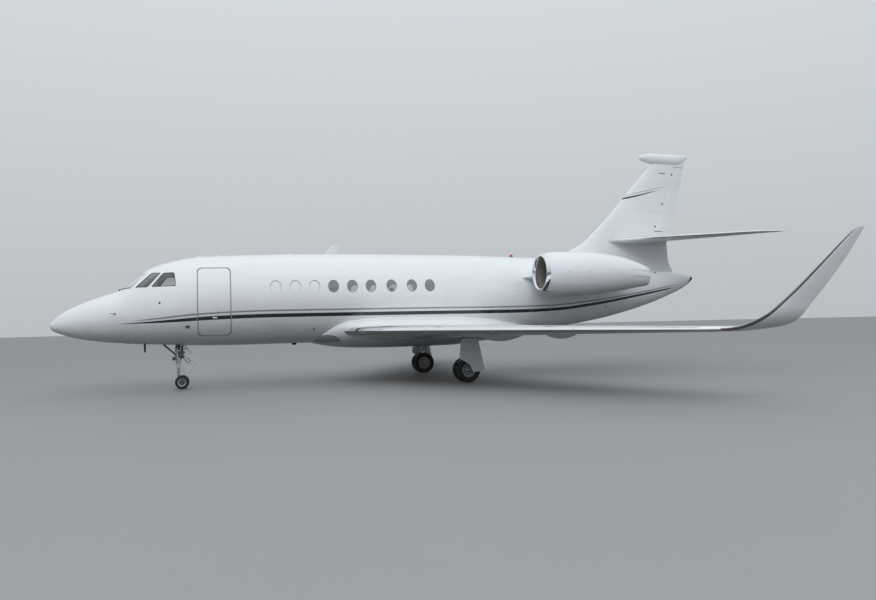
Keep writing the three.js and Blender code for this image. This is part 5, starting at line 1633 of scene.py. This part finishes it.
def rim(shape, centre, radius, width, out, holes, spokes, finish, face):
    """A wheel in its tyre: barrel with flanges, a pierced dished face, hub cap and tie bolts."""
    edge = radius * RIM_SHARE
    hub = "steel" if face == "rim" else face
    barrel = [(-0.36, 0.9), (-0.39, 1.04), (-0.34, 1.06), (-0.32, 0.97), (0.3, 0.97), (0.32, 1.06), (0.37, 1.04),
              (0.34, 0.92), (0.27, 0.88), (-0.3, 0.86)]
    shape.turned([(o * width * out, r * edge) for o, r in barrel], centre, (0, 1, 0), finish, 56, loop=True)
    base = Vector(centre)

    def lay(u, v, level):
        return base + Vector((u, level * out, v))
    discs = [oval(cos(TURN * k / holes) * edge * 0.66, sin(TURN * k / holes) * edge * 0.66,
                  edge * 0.24, edge * 0.24, 14) for k in range(holes)]
    outer = oval(0, 0, edge * 1.78, edge * 1.78, 56)
    pierced(shape, outer, discs, lay, width * 0.1, width * 0.17, face, "steel")
    shape.turned([(width * 0.16, edge * 0.4), (width * 0.21, edge * 0.38), (width * 0.3, edge * 0.26),
                  (width * 0.4, edge * 0.24), (width * 0.42, edge * 0.18), (width * 0.42, edge * 0.02)],
                 centre, (0, out, 0), hub, 32)
    for k in range(spokes):
        a = TURN * (k + 0.5) / spokes
        at = base + Vector((cos(a) * edge * 0.48, 0, sin(a) * edge * 0.48))
        shape.rod(at + Vector((0, out * width * 0.16, 0)), at + Vector((0, out * width * 0.195, 0)), edge * 0.045,
                  "steel", sides=8)


def axle_set(prefix, tail, body, centre, gear, holes, finish="rim"):
    """Twin wheels on one axle: the rims in one piece, each tyre in its own."""
    s, y, z = centre
    rims = Shape()
    for out in (1, -1):
        rim(rims, place(s, y + out * gear["half"], z), gear["radius"], gear["width"], out, holes, 2 * holes, finish,
            "rim" if prefix == "main" else "gear_dark")
    bore = gear["radius"] * RIM_SHARE * 0.2
    rims.rod(place(s, y - gear["half"] - 0.01, z), place(s, y + gear["half"] + 0.01, z), bore, "steel")
    rims.piece(f"{prefix}_rims_fine{tail}", [f"{prefix}_rims{tail}"], body, "rim")
    for label, out in (("outer", 1), ("inner", -1)):
        shape = Shape()
        tyre(shape, place(s, y + out * gear["half"], z), gear["radius"], gear["width"])
        shape.piece(f"{prefix}_tyre_fine_{label}{tail}", [f"{prefix}_tyre_{label}{tail}"], body, "tyre")


def torque_link(shape, apex, high, low, width, finish="gear"):
    """Two forked arms that meet at a pin behind a leg."""
    for end in (high, low):
        for side in (1, -1):
            reach = Vector((0, side * width, 0))
            shape.rod(Vector(end) + reach, Vector(apex) + reach * 0.35, 0.013, finish, 0.01, 10)
        shape.rod(Vector(end) - Vector((0, width * 1.2, 0)), Vector(end) + Vector((0, width * 1.2, 0)), 0.014, finish,
                  sides=12)
    shape.rod(Vector(apex) - Vector((0, width * 0.6, 0)), Vector(apex) + Vector((0, width * 0.6, 0)), 0.012, "steel",
              sides=12)


def collar(shape, low, high, radius, finish="gear"):
    """A raised ring round a strut."""
    length = (Vector(high) - Vector(low)).length
    shape.turned([(0, radius * 0.94), (0.004, radius), (length - 0.004, radius), (length, radius * 0.94)], low,
                 Vector(high) - Vector(low), finish, 28)


def nose_leg_door(leg):
    """A plate across the aircraft that slopes down and aft, with ribs on its front face."""
    top, low = (place(s, 0, z) for s, z in NOSE_LEG_DOOR)
    along = (low - top).normalized()
    normal = Vector((0, 1, 0)).cross(along)
    length = (low - top).length
    outline = [(-0.13, 0), (0.13, 0), (0.13, 0.3), (0.105, length), (-0.105, length), (-0.13, 0.3)]

    def lay(y, down, level):
        return top + along * down + Vector((0, y, 0)) + normal * level
    leg.plate(eased(outline, 0.04), lay, -0.017, 0.017, "gear_door", 0.003)
    for y in (-0.075, 0.075):
        leg.plate([(y - 0.008, 0.04), (y + 0.008, 0.04), (y + 0.008, length - 0.08), (y - 0.008, length - 0.08)],
                  lay, 0.016, 0.03, "gear_door", 0.002)


# Rods of the nose leg: both ends as distance aft of the strut, y and height, then radius, finish, sides of the ring
NOSE_RODS = (
    ((0, 0, 0.84), (0, 0, 0.655), 0.046, "gear", 32),
    ((-0.38, 0, 1.22), (-0.03, 0, 0.905), 0.022, "gear_dark", 16),
    ((0.03, 0, 1.06), (0.22, 0, 1.09), 0.014, "gear_dark", 12),
    ((0.02, 0, 0.88), (0.17, 0, 0.86), 0.03, "gear_dark", 16),
    ((-0.1, -0.09, 0.83), (-0.1, 0.09, 0.83), 0.014, "gear_dark", 12),
    ((-0.1, 0, 0.83), (0, 0, 0.83), 0.014, "gear_dark", 12),
)
# The same on both sides
NOSE_PAIRS = (
    ((-0.36, 0.07, 1.22), (-0.03, 0.045, 0.915), 0.012, "gear_dark", 12),
    ((0.02, 0.05, 0.99), (0.17, 0.05, 0.99), 0.034, "gear_dark", 18),
    ((0.1, 0.075, 1.17), (0.12, 0.06, 0.86), 0.021, "gear_dark", 14),
    ((0.13, 0.04, 1.2), (0.07, 0.05, 0.8), 0.014, "rubber", 12),
    ((-0.02, 0.075, 1.12), (-0.02, 0.07, 0.84), 0.02, "gear", 14),
    ((-0.02, 0.07, 0.84), (-0.02, 0.05, 0.7), 0.009, "chrome", 10),
    ((0.16, 0.09, 0.86), (0.37, 0.09, 0.67), 0.016, "gear_door", 12),
)
# Hoses: path as above, radius, finish
NOSE_HOSES = (
    (((0.13, 0.1, 0.84), (0.26, 0.1, 0.7), (0.33, 0.1, 0.73), (0.21, 0.1, 0.87)), 0.01, "gear_dark"),
    (((-0.062, 0.02, 1.18), (-0.085, 0.03, 1.0), (-0.075, 0.03, 0.84), (-0.055, 0.02, 0.72),
      (-0.048, 0.015, 0.68)), 0.007, "rubber"),
    (((0.07, -0.03, 1.19), (0.085, -0.04, 1.0), (0.065, -0.035, 0.8), (0.048, -0.03, 0.7)), 0.006, "rubber"),
)
# The same for a main leg, from its axle
MAIN_RODS = (
    ((0.04, 0, 1.33), (0.016, 0, 0.7), 0.068, "gear", 36),
    ((0.016, 0, 0.715), (0, 0, 0.35), 0.045, "chrome", 32),
    ((0, -0.05, 0.33), (0, 0.05, 0.33), 0.058, "gear", 28),
    ((0.03, 0, 0.92), (0.06, -0.62, 1.17), 0.031, "gear", 20),
    ((0.045, -0.28, 1.035), (0.045, -0.44, 1.1), 0.038, "gear", 20),
    ((0.06, 0, 0.82), (0.095, 0.27, 0.82), 0.02, "gear", 14),
    ((0.03, 0, 1.08), (0.065, 0.27, 1.08), 0.02, "gear", 14),
)
MAIN_HOSES = (
    (((0.1, 0.03, 1.2), (0.115, 0.04, 0.95), (0.1, 0.03, 0.74), (0.13, 0.02, 0.6), (0.09, 0.01, 0.46),
      (0.06, 0, 0.4)), 0.008, "rubber"),
    (((0.1, -0.03, 1.2), (0.115, -0.04, 0.95), (0.1, -0.03, 0.76), (0.14, -0.02, 0.58), (0.09, -0.01, 0.44),
      (0.05, -0.02, 0.39)), 0.007, "rubber"),
)


def fit_out(shape, s, y, rods, pairs, hoses):
    """Rods, rods on both sides and hoses, placed from a station and a distance aside."""
    for side, table in ((1, rods), (1, pairs), (-1, pairs)):
        for start, end, radius, finish, sides in table:
            a, b = (place(s + aft, y + side * out, z) for aft, out, z in (start, end))
            shape.rod(a, b, radius, finish, sides=sides)
    for path, radius, finish in hoses:
        shape.tube([place(s + aft, y + out, z) for aft, out, z in path], radius, finish)


def make_nose_gear():
    gear = NOSE_GEAR
    s = gear["strut"]
    leg = Shape()
    # The strut and most of the rods are near-black, painted shade.
    leg.rod(place(s, 0, 1.23), place(s, 0, 0.82), 0.062, "gear_dark", 0.056, sides=32)
    for low, high, radius in ((0.64, 0.7, 0.053), (0.8, 0.86, 0.064), (1.02, 1.07, 0.068)):
        collar(leg, place(s, 0, low), place(s, 0, high), radius)
    fit_out(leg, s, 0, NOSE_RODS, NOSE_PAIRS, NOSE_HOSES)
    for y in (0.075, -0.075):
        lamp = place(s - 0.12, y, 0.83)
        leg.turned([(-0.035, 0.02), (-0.03, 0.04), (0.0, 0.052), (0.02, 0.056), (0.024, 0.05)], lamp,
                   (1, 0, 0.08), "gear_dark", 28)
        leg.turned([(0.02, 0.049), (0.027, 0.047), (0.031, 0.03), (0.032, 0.004)], lamp, (1, 0, 0.08),
                   "lamp_clear", 28)
    nose_leg_door(leg)
    leg.piece("nose_leg_fine", ["nose_leg"], slot="gear_paint")
    fork = Shape()
    z = gear["radius"]
    fork.rod(place(s, 0, 0.632), place(s, 0, 0.2), 0.04, "chrome", sides=28)
    collar(fork, place(s, 0, 0.575), place(s, 0, 0.625), 0.05)
    fork.rod(place(s, 0, z + 0.07), place(gear["station"], 0, z), 0.036, "gear", sides=20)
    collar(fork, place(s, 0, 0.225), place(s, 0, 0.275), 0.045)
    fork.rod(place(gear["station"], -0.058, z), place(gear["station"], 0.058, z), 0.038, "gear", sides=24)
    torque_link(fork, place(s + 0.155, 0, 0.45), place(s + 0.045, 0, 0.6), place(s + 0.045, 0, 0.29), 0.03)
    fork.rod(place(s + 0.05, 0, z + 0.05), place(gear["station"] + 0.05, 0, z + 0.02), 0.01, "steel", sides=10)
    fork.piece("nose_fork_fine", ["nose_fork"], "nose_steering", "gear_paint")
    axle_set("nose", "", "nose_wheels", (gear["station"], 0, gear["radius"]), gear, 8, "rim_nose")


# A brake pack: from and to, out from the axle's middle, and its radius
BRAKE = {"inner": 0.06, "outer": 0.098, "radius": 0.135}


def make_main_gear():
    gear = MAIN_GEAR
    s, y, z = gear["station"], gear["y"], gear["radius"]
    leg = Shape()
    fit_out(leg, s, y, MAIN_RODS, (), MAIN_HOSES)
    for low, high, radius in ((0.69, 0.76, 0.077), (0.99, 1.06, 0.079), (0.86, 0.89, 0.074)):
        lean = 0.016 + 0.024 * (low - 0.69) / 0.64
        collar(leg, place(s + lean, y, low), place(s + lean, y, high), radius)
    collar(leg, place(s + 0.003, y, z + 0.04), place(s + 0.005, y, z + 0.1), 0.06)
    torque_link(leg, place(s - 0.235, y, 0.53), place(s - 0.06, y, 0.7), place(s - 0.05, y, z + 0.06), 0.04)
    for out in (1, -1):
        profile = ((BRAKE["inner"], BRAKE["radius"] * 0.9), (BRAKE["inner"] + 0.003, BRAKE["radius"]),
                   (BRAKE["outer"] - 0.003, BRAKE["radius"]), (BRAKE["outer"], BRAKE["radius"] * 0.95))
        leg.turned([(a - 0.01, r) for a, r in profile], place(s, y, z), (0, out, 0), "brake", 40)
    leg.side_plate(eased(MAIN_LEG_DOOR, 0.05), y + 0.268, y + 0.286, "gear_door")
    for u, v in ((10.68, 1.05), (10.84, 0.8), (10.93, 0.48)):
        leg.box((NOSE - u - 0.11, y + 0.256, v - 0.016), (NOSE - u + 0.11, y + 0.27, v + 0.016), "gear")
    for name, side in SIDES:
        leg.mirrored(side).piece(f"main_leg_fine_{name}", [f"main_leg_{name}"], slot="gear_paint")
        axle_set("main", f"_{name}", f"main_wheels_{name}", (s, side * y, z), gear, 10)


# Cabin

def bent(value, power=0.35):
    """A power that keeps the sign."""
    return copysign(abs(value) ** power, value)


def cushion(shape, low, high, finish, puff=0.03, divisions=12):
    """A crowned pad in a box, its sides drawn in between the corners, with a seam round its middle."""
    low, high = Vector(low), Vector(high)
    centre, half = (low + high) / 2, (high - low) / 2
    rows = []
    for i in range(divisions + 1):
        v = pi * (i / divisions - 0.5)
        reach, z = bent(cos(v)), bent(sin(v))
        pinch = 0.985 if i == divisions // 2 else 1.0
        ring = []
        for j in range(4 * divisions):
            u = TURN * j / (4 * divisions)
            x, y = reach * bent(cos(u)), reach * bent(sin(u))
            drawn = 1 - puff * (1 - abs(z)) * 0.5
            crown = 1 + puff * (1 - x * x) * (1 - y * y)
            ring.append((centre.x + half.x * x * drawn * pinch, centre.y + half.y * y * drawn * pinch,
                         centre.z + half.z * z * crown * (0.97 if abs(z) > 0.99 else 1)))
        rows.append(ring)
    shape.grid(rows, finish)


def seat(frame_shape, pad, s, y, facing, half=0.225):
    """A seat at a station; facing is 1 forwards and -1 aft."""
    base = FLOOR_LEVEL + 0.012
    back = s + facing * 0.25
    cushion(pad, place(s + 0.25, y - half, base + 0.26), place(s - 0.25, y + half, base + 0.41), "leather", 0.08)
    a, b = sorted((back - 0.075, back + 0.055))
    cushion(pad, place(b, y - half, base + 0.36), place(a, y + half, base + 0.9), "leather", 0.06)
    cushion(pad, place(b - 0.01, y - half * 0.6, base + 0.905), place(a + 0.01, y + half * 0.6, base + 1.085),
            "leather", 0.08)
    frame_shape.box((NOSE - s - 0.2, y - half * 0.8, base + 0.2), (NOSE - s + 0.2, y + half * 0.8, base + 0.262),
                    "panel")
    frame_shape.box((NOSE - s - 0.13, y - half * 0.5, base), (NOSE - s + 0.13, y + half * 0.5, base + 0.205), "panel")


SEAT_STATIONS = (5.8, 7.15, 7.75, 9.1)
SEAT_Y = 0.62
CREW_SEAT = (3.0, 0.48)
# Half of the floor's section: distance in from its edge, depth below its top
FLOOR_EDGE = ((0, 0.04), (0, 0.006), (0.03, 0))


def make_cabin():
    floor = Shape()
    rows = []
    for s in steps(2.35, 11.4, 0.15):
        _, bottom, half, waist = BODY_SKIN.curve(s)
        y = (half - 0.088) * sqrt(1 - ((waist - FLOOR_LEVEL) / (waist - bottom - 0.084)) ** 2) - 0.03
        ring = [(-1, *corner) for corner in FLOOR_EDGE] + [(1, *corner) for corner in reversed(FLOOR_EDGE)]
        rows.append([(NOSE - s, side * (y - inset), FLOOR_LEVEL - drop) for side, inset, drop in ring])
    floor.grid(rows, "carpet")
    floor.piece("floor_carpet", ["cabin_floor"], slot="carpet")
    make_cockpit()
    for name, side in SIDES:
        frames, pads = Shape(), Shape()
        for i, s in enumerate(SEAT_STATIONS):
            seat(frames, pads, s, side * SEAT_Y, 1 if i % 2 else -1)
        frames.box((NOSE - 9.3, side * SEAT_Y - 0.2, FLOOR_LEVEL + 0.001),
                   (NOSE - 5.6, side * SEAT_Y + 0.2, FLOOR_LEVEL + 0.012), "panel", 0.002)
        frames.piece(f"cabin_seat_frames_{name}", [f"cabin_seats_{name}"], slot="seat_leather")
        pads.piece(f"cabin_seat_pads_{name}", slot="seat_leather")


def make_cockpit():
    board = Shape()
    face, depth, low, high, level = 2.25, 0.26, 2.2, 2.66, FLOOR_LEVEL

    def lay(y, z, s):
        return NOSE - s, y, z
    outline = [(-0.6, low), (0.6, low), (0.62, 2.5), (0.5, high), (0.18, high + 0.02), (-0.18, high + 0.02),
               (-0.5, high), (-0.62, 2.5)]
    board.plate(eased(outline, 0.05), lay, face - depth, face, "panel", 0.01)
    hood = [(-0.64, high - 0.01), (0.64, high - 0.01), (0.56, high + 0.04), (-0.56, high + 0.04)]
    board.plate(eased(hood, 0.02), lay, face - depth + 0.03, face + 0.04, "rubber", 0.01)
    for y in (-0.44, -0.15, 0.15, 0.44):
        screen = [(y - 0.125, 2.4), (y + 0.125, 2.4), (y + 0.125, 2.6), (y - 0.125, 2.6)]
        board.plate(eased(screen, 0.012), lay, face - 0.002, face + 0.008, "display", 0.002)
    board.box((NOSE - 2.95, -0.17, level + 0.05), (NOSE - 2.26, 0.17, level + 0.5), "panel", 0.02)
    for y in (-0.06, 0.06):
        board.rod(place(2.6, y, level + 0.49), place(2.56, y, level + 0.62), 0.009, "steel", sides=10)
        board.rod(place(2.56, y - 0.02, level + 0.62), place(2.56, y + 0.02, level + 0.62), 0.016, "rubber", sides=12)
    for side in (1, -1):
        y = side * CREW_SEAT[1]
        board.rod(place(2.46, y, level + 0.02), place(2.44, y, level + 0.52), 0.022, "panel", sides=14)
        horns = ((-0.17, 0.66), (-0.16, 0.56), (-0.08, 0.52), (0.08, 0.52), (0.16, 0.56), (0.17, 0.66))
        board.tube([place(2.46, y + out, level + z) for out, z in horns], 0.016, "rubber", 12)
    board.piece("cockpit_board", ["cockpit_panel"], slot="instrument_panel")
    for name, side in SIDES:
        frames, pads = Shape(), Shape()
        seat(frames, pads, CREW_SEAT[0], side * CREW_SEAT[1], 1)
        frames.piece(f"crew_seat_frame_{name}", [f"crew_seat_{name}"], slot="seat_leather")
        pads.piece(f"crew_seat_pads_{name}", slot="seat_leather")


# Lines and plates on the skin

PROBE = (1.675, 2.063)
# Round plates: station, height, radius, finish
PORTS = (
    (2.775, 2.322, 0.03, "seam_dark"), (6.758, 1.543, 0.034, "seam_dark"), (4.77, 1.66, 0.018, "seam"),
    (18.01, 3.1, 0.038, "seam_dark"), (15.92, 2.0, 0.034, "seam_dark"),
)
# Outlines of hatches: from and to along, from and to in height, corner radius
HATCHES = (
    (1.1, 1.52, 1.55, 2.02, 0.05), (12.05, 12.55, 1.62, 2.02, 0.06), (13.9, 14.5, 1.75, 2.15, 0.07),
    (15.6, 16.2, 2.05, 2.42, 0.07), (5.25, 5.55, 1.4, 1.62, 0.04), (16.9, 17.4, 2.75, 3.05, 0.06),
)
RIGHT_HATCHES = ((9.35, 9.87, 2.36, 3.03, 0.09), (11.3, 11.9, 1.9, 2.35, 0.06))
FRAME_LINES = (RADOME_END, COCKPIT_END, 8.06, CABIN_END, 13.2, REAR_END)
# Seams along the skin on both sides: from, to, angle
LONG_LINES = ((1.05, 5.1, 1.25), (5.2, 11.4, 1.15), (11.6, 17.7, 1.2), (1.05, 5.1, -0.95))
HANDLE = (4.15, 1.915)


def spot(s, z, side=1):
    """The fuselage's surface at a station and a height: its point and normal."""
    return (Vector(v) for v in on_hull(BODY_SKIN)(*on_skin([(s, z)], side)[0]))


def make_side_fittings():
    """Probes, ports, hatches, the door's handle and the seams on both sides of the fuselage."""
    on = on_hull(BODY_SKIN)
    shape = Shape()
    for _, side in SIDES:
        point, normal = spot(*PROBE, side)
        elbow = point + normal * 0.09
        shape.tube([point - normal * 0.01, point + normal * 0.09 * 0.6, elbow + Vector((0.02, 0, 0)),
                    elbow + Vector((0.1, 0, 0))], 0.008, "steel", 12)
        shape.rod(point - normal * 0.01, point + normal * 0.006, 0.028, "steel", sides=24)
        for s, z, radius, finish in PORTS:
            point, normal = spot(s, z, side)
            shape.rod(point - normal * 0.01, point + normal * 0.0025, radius, finish, sides=24)
        for s0, s1, z0, z1, corner in HATCHES + (RIGHT_HATCHES if side < 0 else ()):
            outline = denser(rounded(s0, s1, z0, z1, corner, 5), 0.08)
            seam(shape, on, on_skin([*outline, outline[0]], side), 0.0015, "seam_faint")
        seam(shape, on, on_skin([(s, 2.2) for s in steps(4.62, 11.4, 0.15)], side), 0.003, "seam_faint")
        plate = on_skin(rounded(3.4, 3.51, 1.648, 1.722, 0.01, 3), side)
        skin(shape, BODY_SKIN, 0, 0, 0.01, "seam_dark", "seam_dark", only=plate, edge="steel", sunk=-0.003,
             spacing=0.03)
    for s in FRAME_LINES:
        width = 0.003 if s in (RADOME_END, REAR_END) else 0.0016
        seam(shape, on, [(s, a) for a in np.linspace(SKIN_START, SKIN_START + TURN, 97)], width, "seam_faint")
    for s0, s1, a in LONG_LINES:
        for angle in (a, pi - a):
            seam(shape, on, [(s, angle) for s in steps(s0, s1, 0.15)], 0.0014, "seam_faint")
    make_wipers(shape)
    shape.piece("skin_fittings")
    handle = Shape()
    s, z = HANDLE
    point, _ = spot(s, z)
    outline = [(s - 0.06, z - 0.022), (s + 0.06, z - 0.022), (s + 0.06, z + 0.022), (s - 0.06, z + 0.022)]
    handle.side_plate(eased(outline, 0.018), point.y - 0.012, point.y + 0.004, "paint_fitting")
    handle.piece("door_handle", body="door")


def make_wipers(shape):
    """An arm and a blade at rest under each windshield pane."""
    for side in (1, -1):
        (a, na), (b, nb) = ([Vector(v) for v in on_hull(BODY_SKIN)(*front_spot(side * y, z))]
                            for y, z in ((0.13, 2.7), (0.54, 2.742)))
        shape.rod(a - na * 0.01, a + na * 0.03, 0.018, "antenna", sides=16)
        middle = (a + b) / 2 + (na + nb) * 0.01
        shape.tube([a + na * 0.022, middle + (na + nb) * 0.004, b + nb * 0.018], 0.006, "antenna", 10)
        shape.tube([a.lerp(b, 0.25) + na * 0.008, middle, b.lerp(a, -0.08) + nb * 0.01], 0.005, "rubber", 8)


# Stage

LIGHT = {"place": (6, 26, 22), "towards": (0, 0, 2), "size": (30, 14), "colour": (0.97, 0.98, 1.0)}
# The camera: place, then turn about the vertical, lift and lean, in radians
CAMERA = {"place": (5.9768, 21.4778, 1.6648), "yaw": 0.2934, "pitch": 0.0291, "lean": -0.0243, "sensor": 36.0}


def make_camera(settings):
    data = bpy.data.cameras.new("camera")
    data.lens = settings.lens
    data.sensor_width = CAMERA["sensor"]
    data.clip_end = 2000
    made = new_object("camera", data)
    yaw, pitch, lean = CAMERA["yaw"], CAMERA["pitch"], CAMERA["lean"]
    forward = Vector((-sin(yaw) * cos(pitch), -cos(yaw) * cos(pitch), sin(pitch)))
    right = forward.cross(UP).normalized()
    up = right.cross(forward)
    across, upright = right * cos(lean) + up * sin(lean), up * cos(lean) - right * sin(lean)
    turn = Matrix((across, upright, -forward)).transposed().to_4x4()
    made.matrix_world = Matrix.Translation(Vector(CAMERA["place"])) @ turn
    bpy.context.scene.camera = made


def soft_light(name, where, towards, size, power, colour):
    data = bpy.data.lights.new(name, "AREA")
    data.shape = "RECTANGLE"
    data.size, data.size_y = size
    data.energy = power
    data.color = colour
    made = new_object(name, data)
    made.visible_glossy = False
    made.location = where
    made.rotation_euler = (Vector(towards) - Vector(where)).to_track_quat("-Z", "Y").to_euler()


FLOOR_REACH = 240.0


def make_floor(settings):
    shape, angles = Shape(), turns(96)
    shape.grid([np.stack([FLOOR_REACH * t * np.cos(angles), FLOOR_REACH * t * np.sin(angles), 0 * angles], 1)
                for t in np.linspace(0.001, 1, 24)], "floor", caps=False)
    mesh = bpy.data.meshes.new("floor")
    mesh.from_pydata(shape.points, [], [tuple(reversed(f)) for f in shape.faces] + [tuple(range(96))])
    t = Surface("floor")
    tone, bounce = settings.floor_tone, settings.floor_bounce
    to_camera = t.tint(t.noise(t.place(), 0.25, 5.0), (tone * 0.97,) * 3, (tone * 1.03, tone * 1.03, tone * 1.02))
    seen = t.node("Mix", {"Factor": t.node("LightPath").outputs["Is Camera Ray"], "A": (bounce,) * 3 + (1,),
                          "B": to_camera}, data_type="RGBA")
    mesh.materials.append(t.finished({"Base Color": seen.outputs["Result"], "Roughness": 0.6}))
    floor = new_object("floor", mesh)


def make_sky(settings):
    """Soft light all round that brightens from the horizon to straight above."""
    world = bpy.data.worlds.new("sky")
    bpy.context.scene.world = world
    world.use_nodes = True
    t = Tree(world.node_tree)
    apart = t.node("SeparateXYZ", {0: t.node("TexCoord").outputs["Generated"]})
    strength = t.between(apart.outputs["Z"], settings.sky_low, settings.sky_high)
    t.feed(t.nodes["Background"].inputs, {"Strength": strength, "Color": (*settings.sky_colour, 1)})


# Operators, each making one piece or one group of like pieces

class MakeFuselage(Operator):
    """Skins of the nose, cockpit, cabin, rear fuselage, tail cone and belly fairing"""
    bl_idname = "jet.make_fuselage"
    bl_label = "Fuselage"

    def execute(self, context):
        make_nose()
        make_front_section()
        make_cabin_section()
        make_rear_section()
        make_belly()
        return {"FINISHED"}


class MakeGlazing(Operator):
    """Cockpit panes, cabin windows and their shades"""
    bl_idname = "jet.make_glazing"
    bl_label = "Glazing"

    def execute(self, context):
        make_panes()
        return {"FINISHED"}


class MakeDoor(Operator):
    """The cabin door with its steps"""
    bl_idname = "jet.make_door"
    bl_label = "Cabin door"

    def execute(self, context):
        make_door()
        return {"FINISHED"}


class MakeWings(Operator):
    """Wings, winglets, flaps and ailerons"""
    bl_idname = "jet.make_wings"
    bl_label = "Wings"

    def execute(self, context):
        make_wings()
        return {"FINISHED"}


class MakeTail(Operator):
    """Fin, rudder, tailplane and elevators"""
    bl_idname = "jet.make_tail"
    bl_label = "Tail"

    def execute(self, context):
        make_fin()
        make_tailplane()
        return {"FINISHED"}


class MakeEngines(Operator):
    """Nacelles, fans, engine cores and pylons"""
    bl_idname = "jet.make_engines"
    bl_label = "Engines"

    def execute(self, context):
        make_engines()
        return {"FINISHED"}


class MakeGear(Operator):
    """Landing gear legs, doors and wheels"""
    bl_idname = "jet.make_gear"
    bl_label = "Landing gear"

    def execute(self, context):
        make_nose_gear()
        make_main_gear()
        return {"FINISHED"}


class MakeCabin(Operator):
    """Floor, instrument panel and seats"""
    bl_idname = "jet.make_cabin"
    bl_label = "Cabin"

    def execute(self, context):
        make_cabin()
        return {"FINISHED"}


class MakeFittings(Operator):
    """Probes, plates, wipers, the door's handle and panel lines"""
    bl_idname = "jet.make_fittings"
    bl_label = "Fittings"

    def execute(self, context):
        make_side_fittings()
        return {"FINISHED"}


class MakeStage(Operator):
    """Floor, sky, a soft light from the side and camera"""
    bl_idname = "jet.make_stage"
    bl_label = "Stage"

    def execute(self, context):
        settings = context.scene.jet_stage
        context.scene.view_settings.view_transform = "Standard"
        make_floor(settings)
        make_sky(settings)
        soft_light("side", LIGHT["place"], LIGHT["towards"], LIGHT["size"], settings.side, LIGHT["colour"])
        make_camera(settings)
        return {"FINISHED"}


class PaintSettings(PropertyGroup):
    white: FloatVectorProperty(name="White", description="Overall paint", subtype="COLOR", size=3,
                               default=(0.8, 0.83, 0.86))
    dark_stripe: FloatVectorProperty(name="Dark stripe", description="The wide cheat line", subtype="COLOR", size=3,
                                     default=(0.006, 0.014, 0.022))
    grey_line: FloatVectorProperty(name="Grey line", description="The thin cheat line", subtype="COLOR", size=3,
                                   default=(0.25, 0.28, 0.31))
    stripe_width: FloatProperty(name="Stripe width", description="Full width of the dark stripe", default=0.1,
                                unit="LENGTH")
    line_width: FloatProperty(name="Line width", description="Full width of the grey line", default=0.045,
                              unit="LENGTH")


class StageSettings(PropertyGroup):
    floor_tone: FloatProperty(name="Floor tone", description="Grey of the floor", default=0.27, min=0, max=1)
    floor_bounce: FloatProperty(name="Floor bounce", description="Grey of the floor in the light that it throws back",
                                default=0.12, min=0, max=1)
    sky_colour: FloatVectorProperty(name="Sky", description="Colour of the sky", subtype="COLOR", size=3,
                                    default=(0.9, 0.95, 1.0))
    sky_low: FloatProperty(name="Horizon", description="Brightness of the sky at the horizon", default=0.55, min=0)
    sky_high: FloatProperty(name="Zenith", description="Brightness of the sky straight above", default=1.0, min=0)
    side: FloatProperty(name="Side light", description="Soft light from the camera's side", default=3900, min=0,
                        subtype="POWER")
    lens: FloatProperty(name="Focal length", description="The camera's focal length in millimetres", default=30.43,
                        min=1)


class JetPanel(Panel):
    """Lists the pieces and their settings"""
    bl_idname = "VIEW3D_PT_jet"
    bl_label = "Business jet"
    bl_space_type = "VIEW_3D"
    bl_region_type = "UI"
    bl_category = "Jet"

    def draw(self, context):
        for settings in (context.scene.jet_paint, context.scene.jet_stage):
            for name in settings.__annotations__:
                self.layout.prop(settings, name)
        for operator in OPERATORS:
            self.layout.operator(operator.bl_idname)


OPERATORS = (MakeFuselage, MakeGlazing, MakeDoor, MakeWings, MakeTail, MakeEngines, MakeGear, MakeCabin, MakeFittings,
             MakeStage)
CLASSES = (PaintSettings, StageSettings, *OPERATORS, JetPanel)


def register():
    for made in CLASSES:
        bpy.utils.register_class(made)
    bpy.types.Scene.jet_paint = PointerProperty(type=PaintSettings)
    bpy.types.Scene.jet_stage = PointerProperty(type=StageSettings)


def unregister():
    del bpy.types.Scene.jet_stage
    del bpy.types.Scene.jet_paint
    for made in reversed(CLASSES):
        bpy.utils.unregister_class(made)


def main():
    register()
    for operator in OPERATORS:
        getattr(bpy.ops.jet, operator.bl_idname.split(".")[1])()


if __name__ == "__main__":
    main()
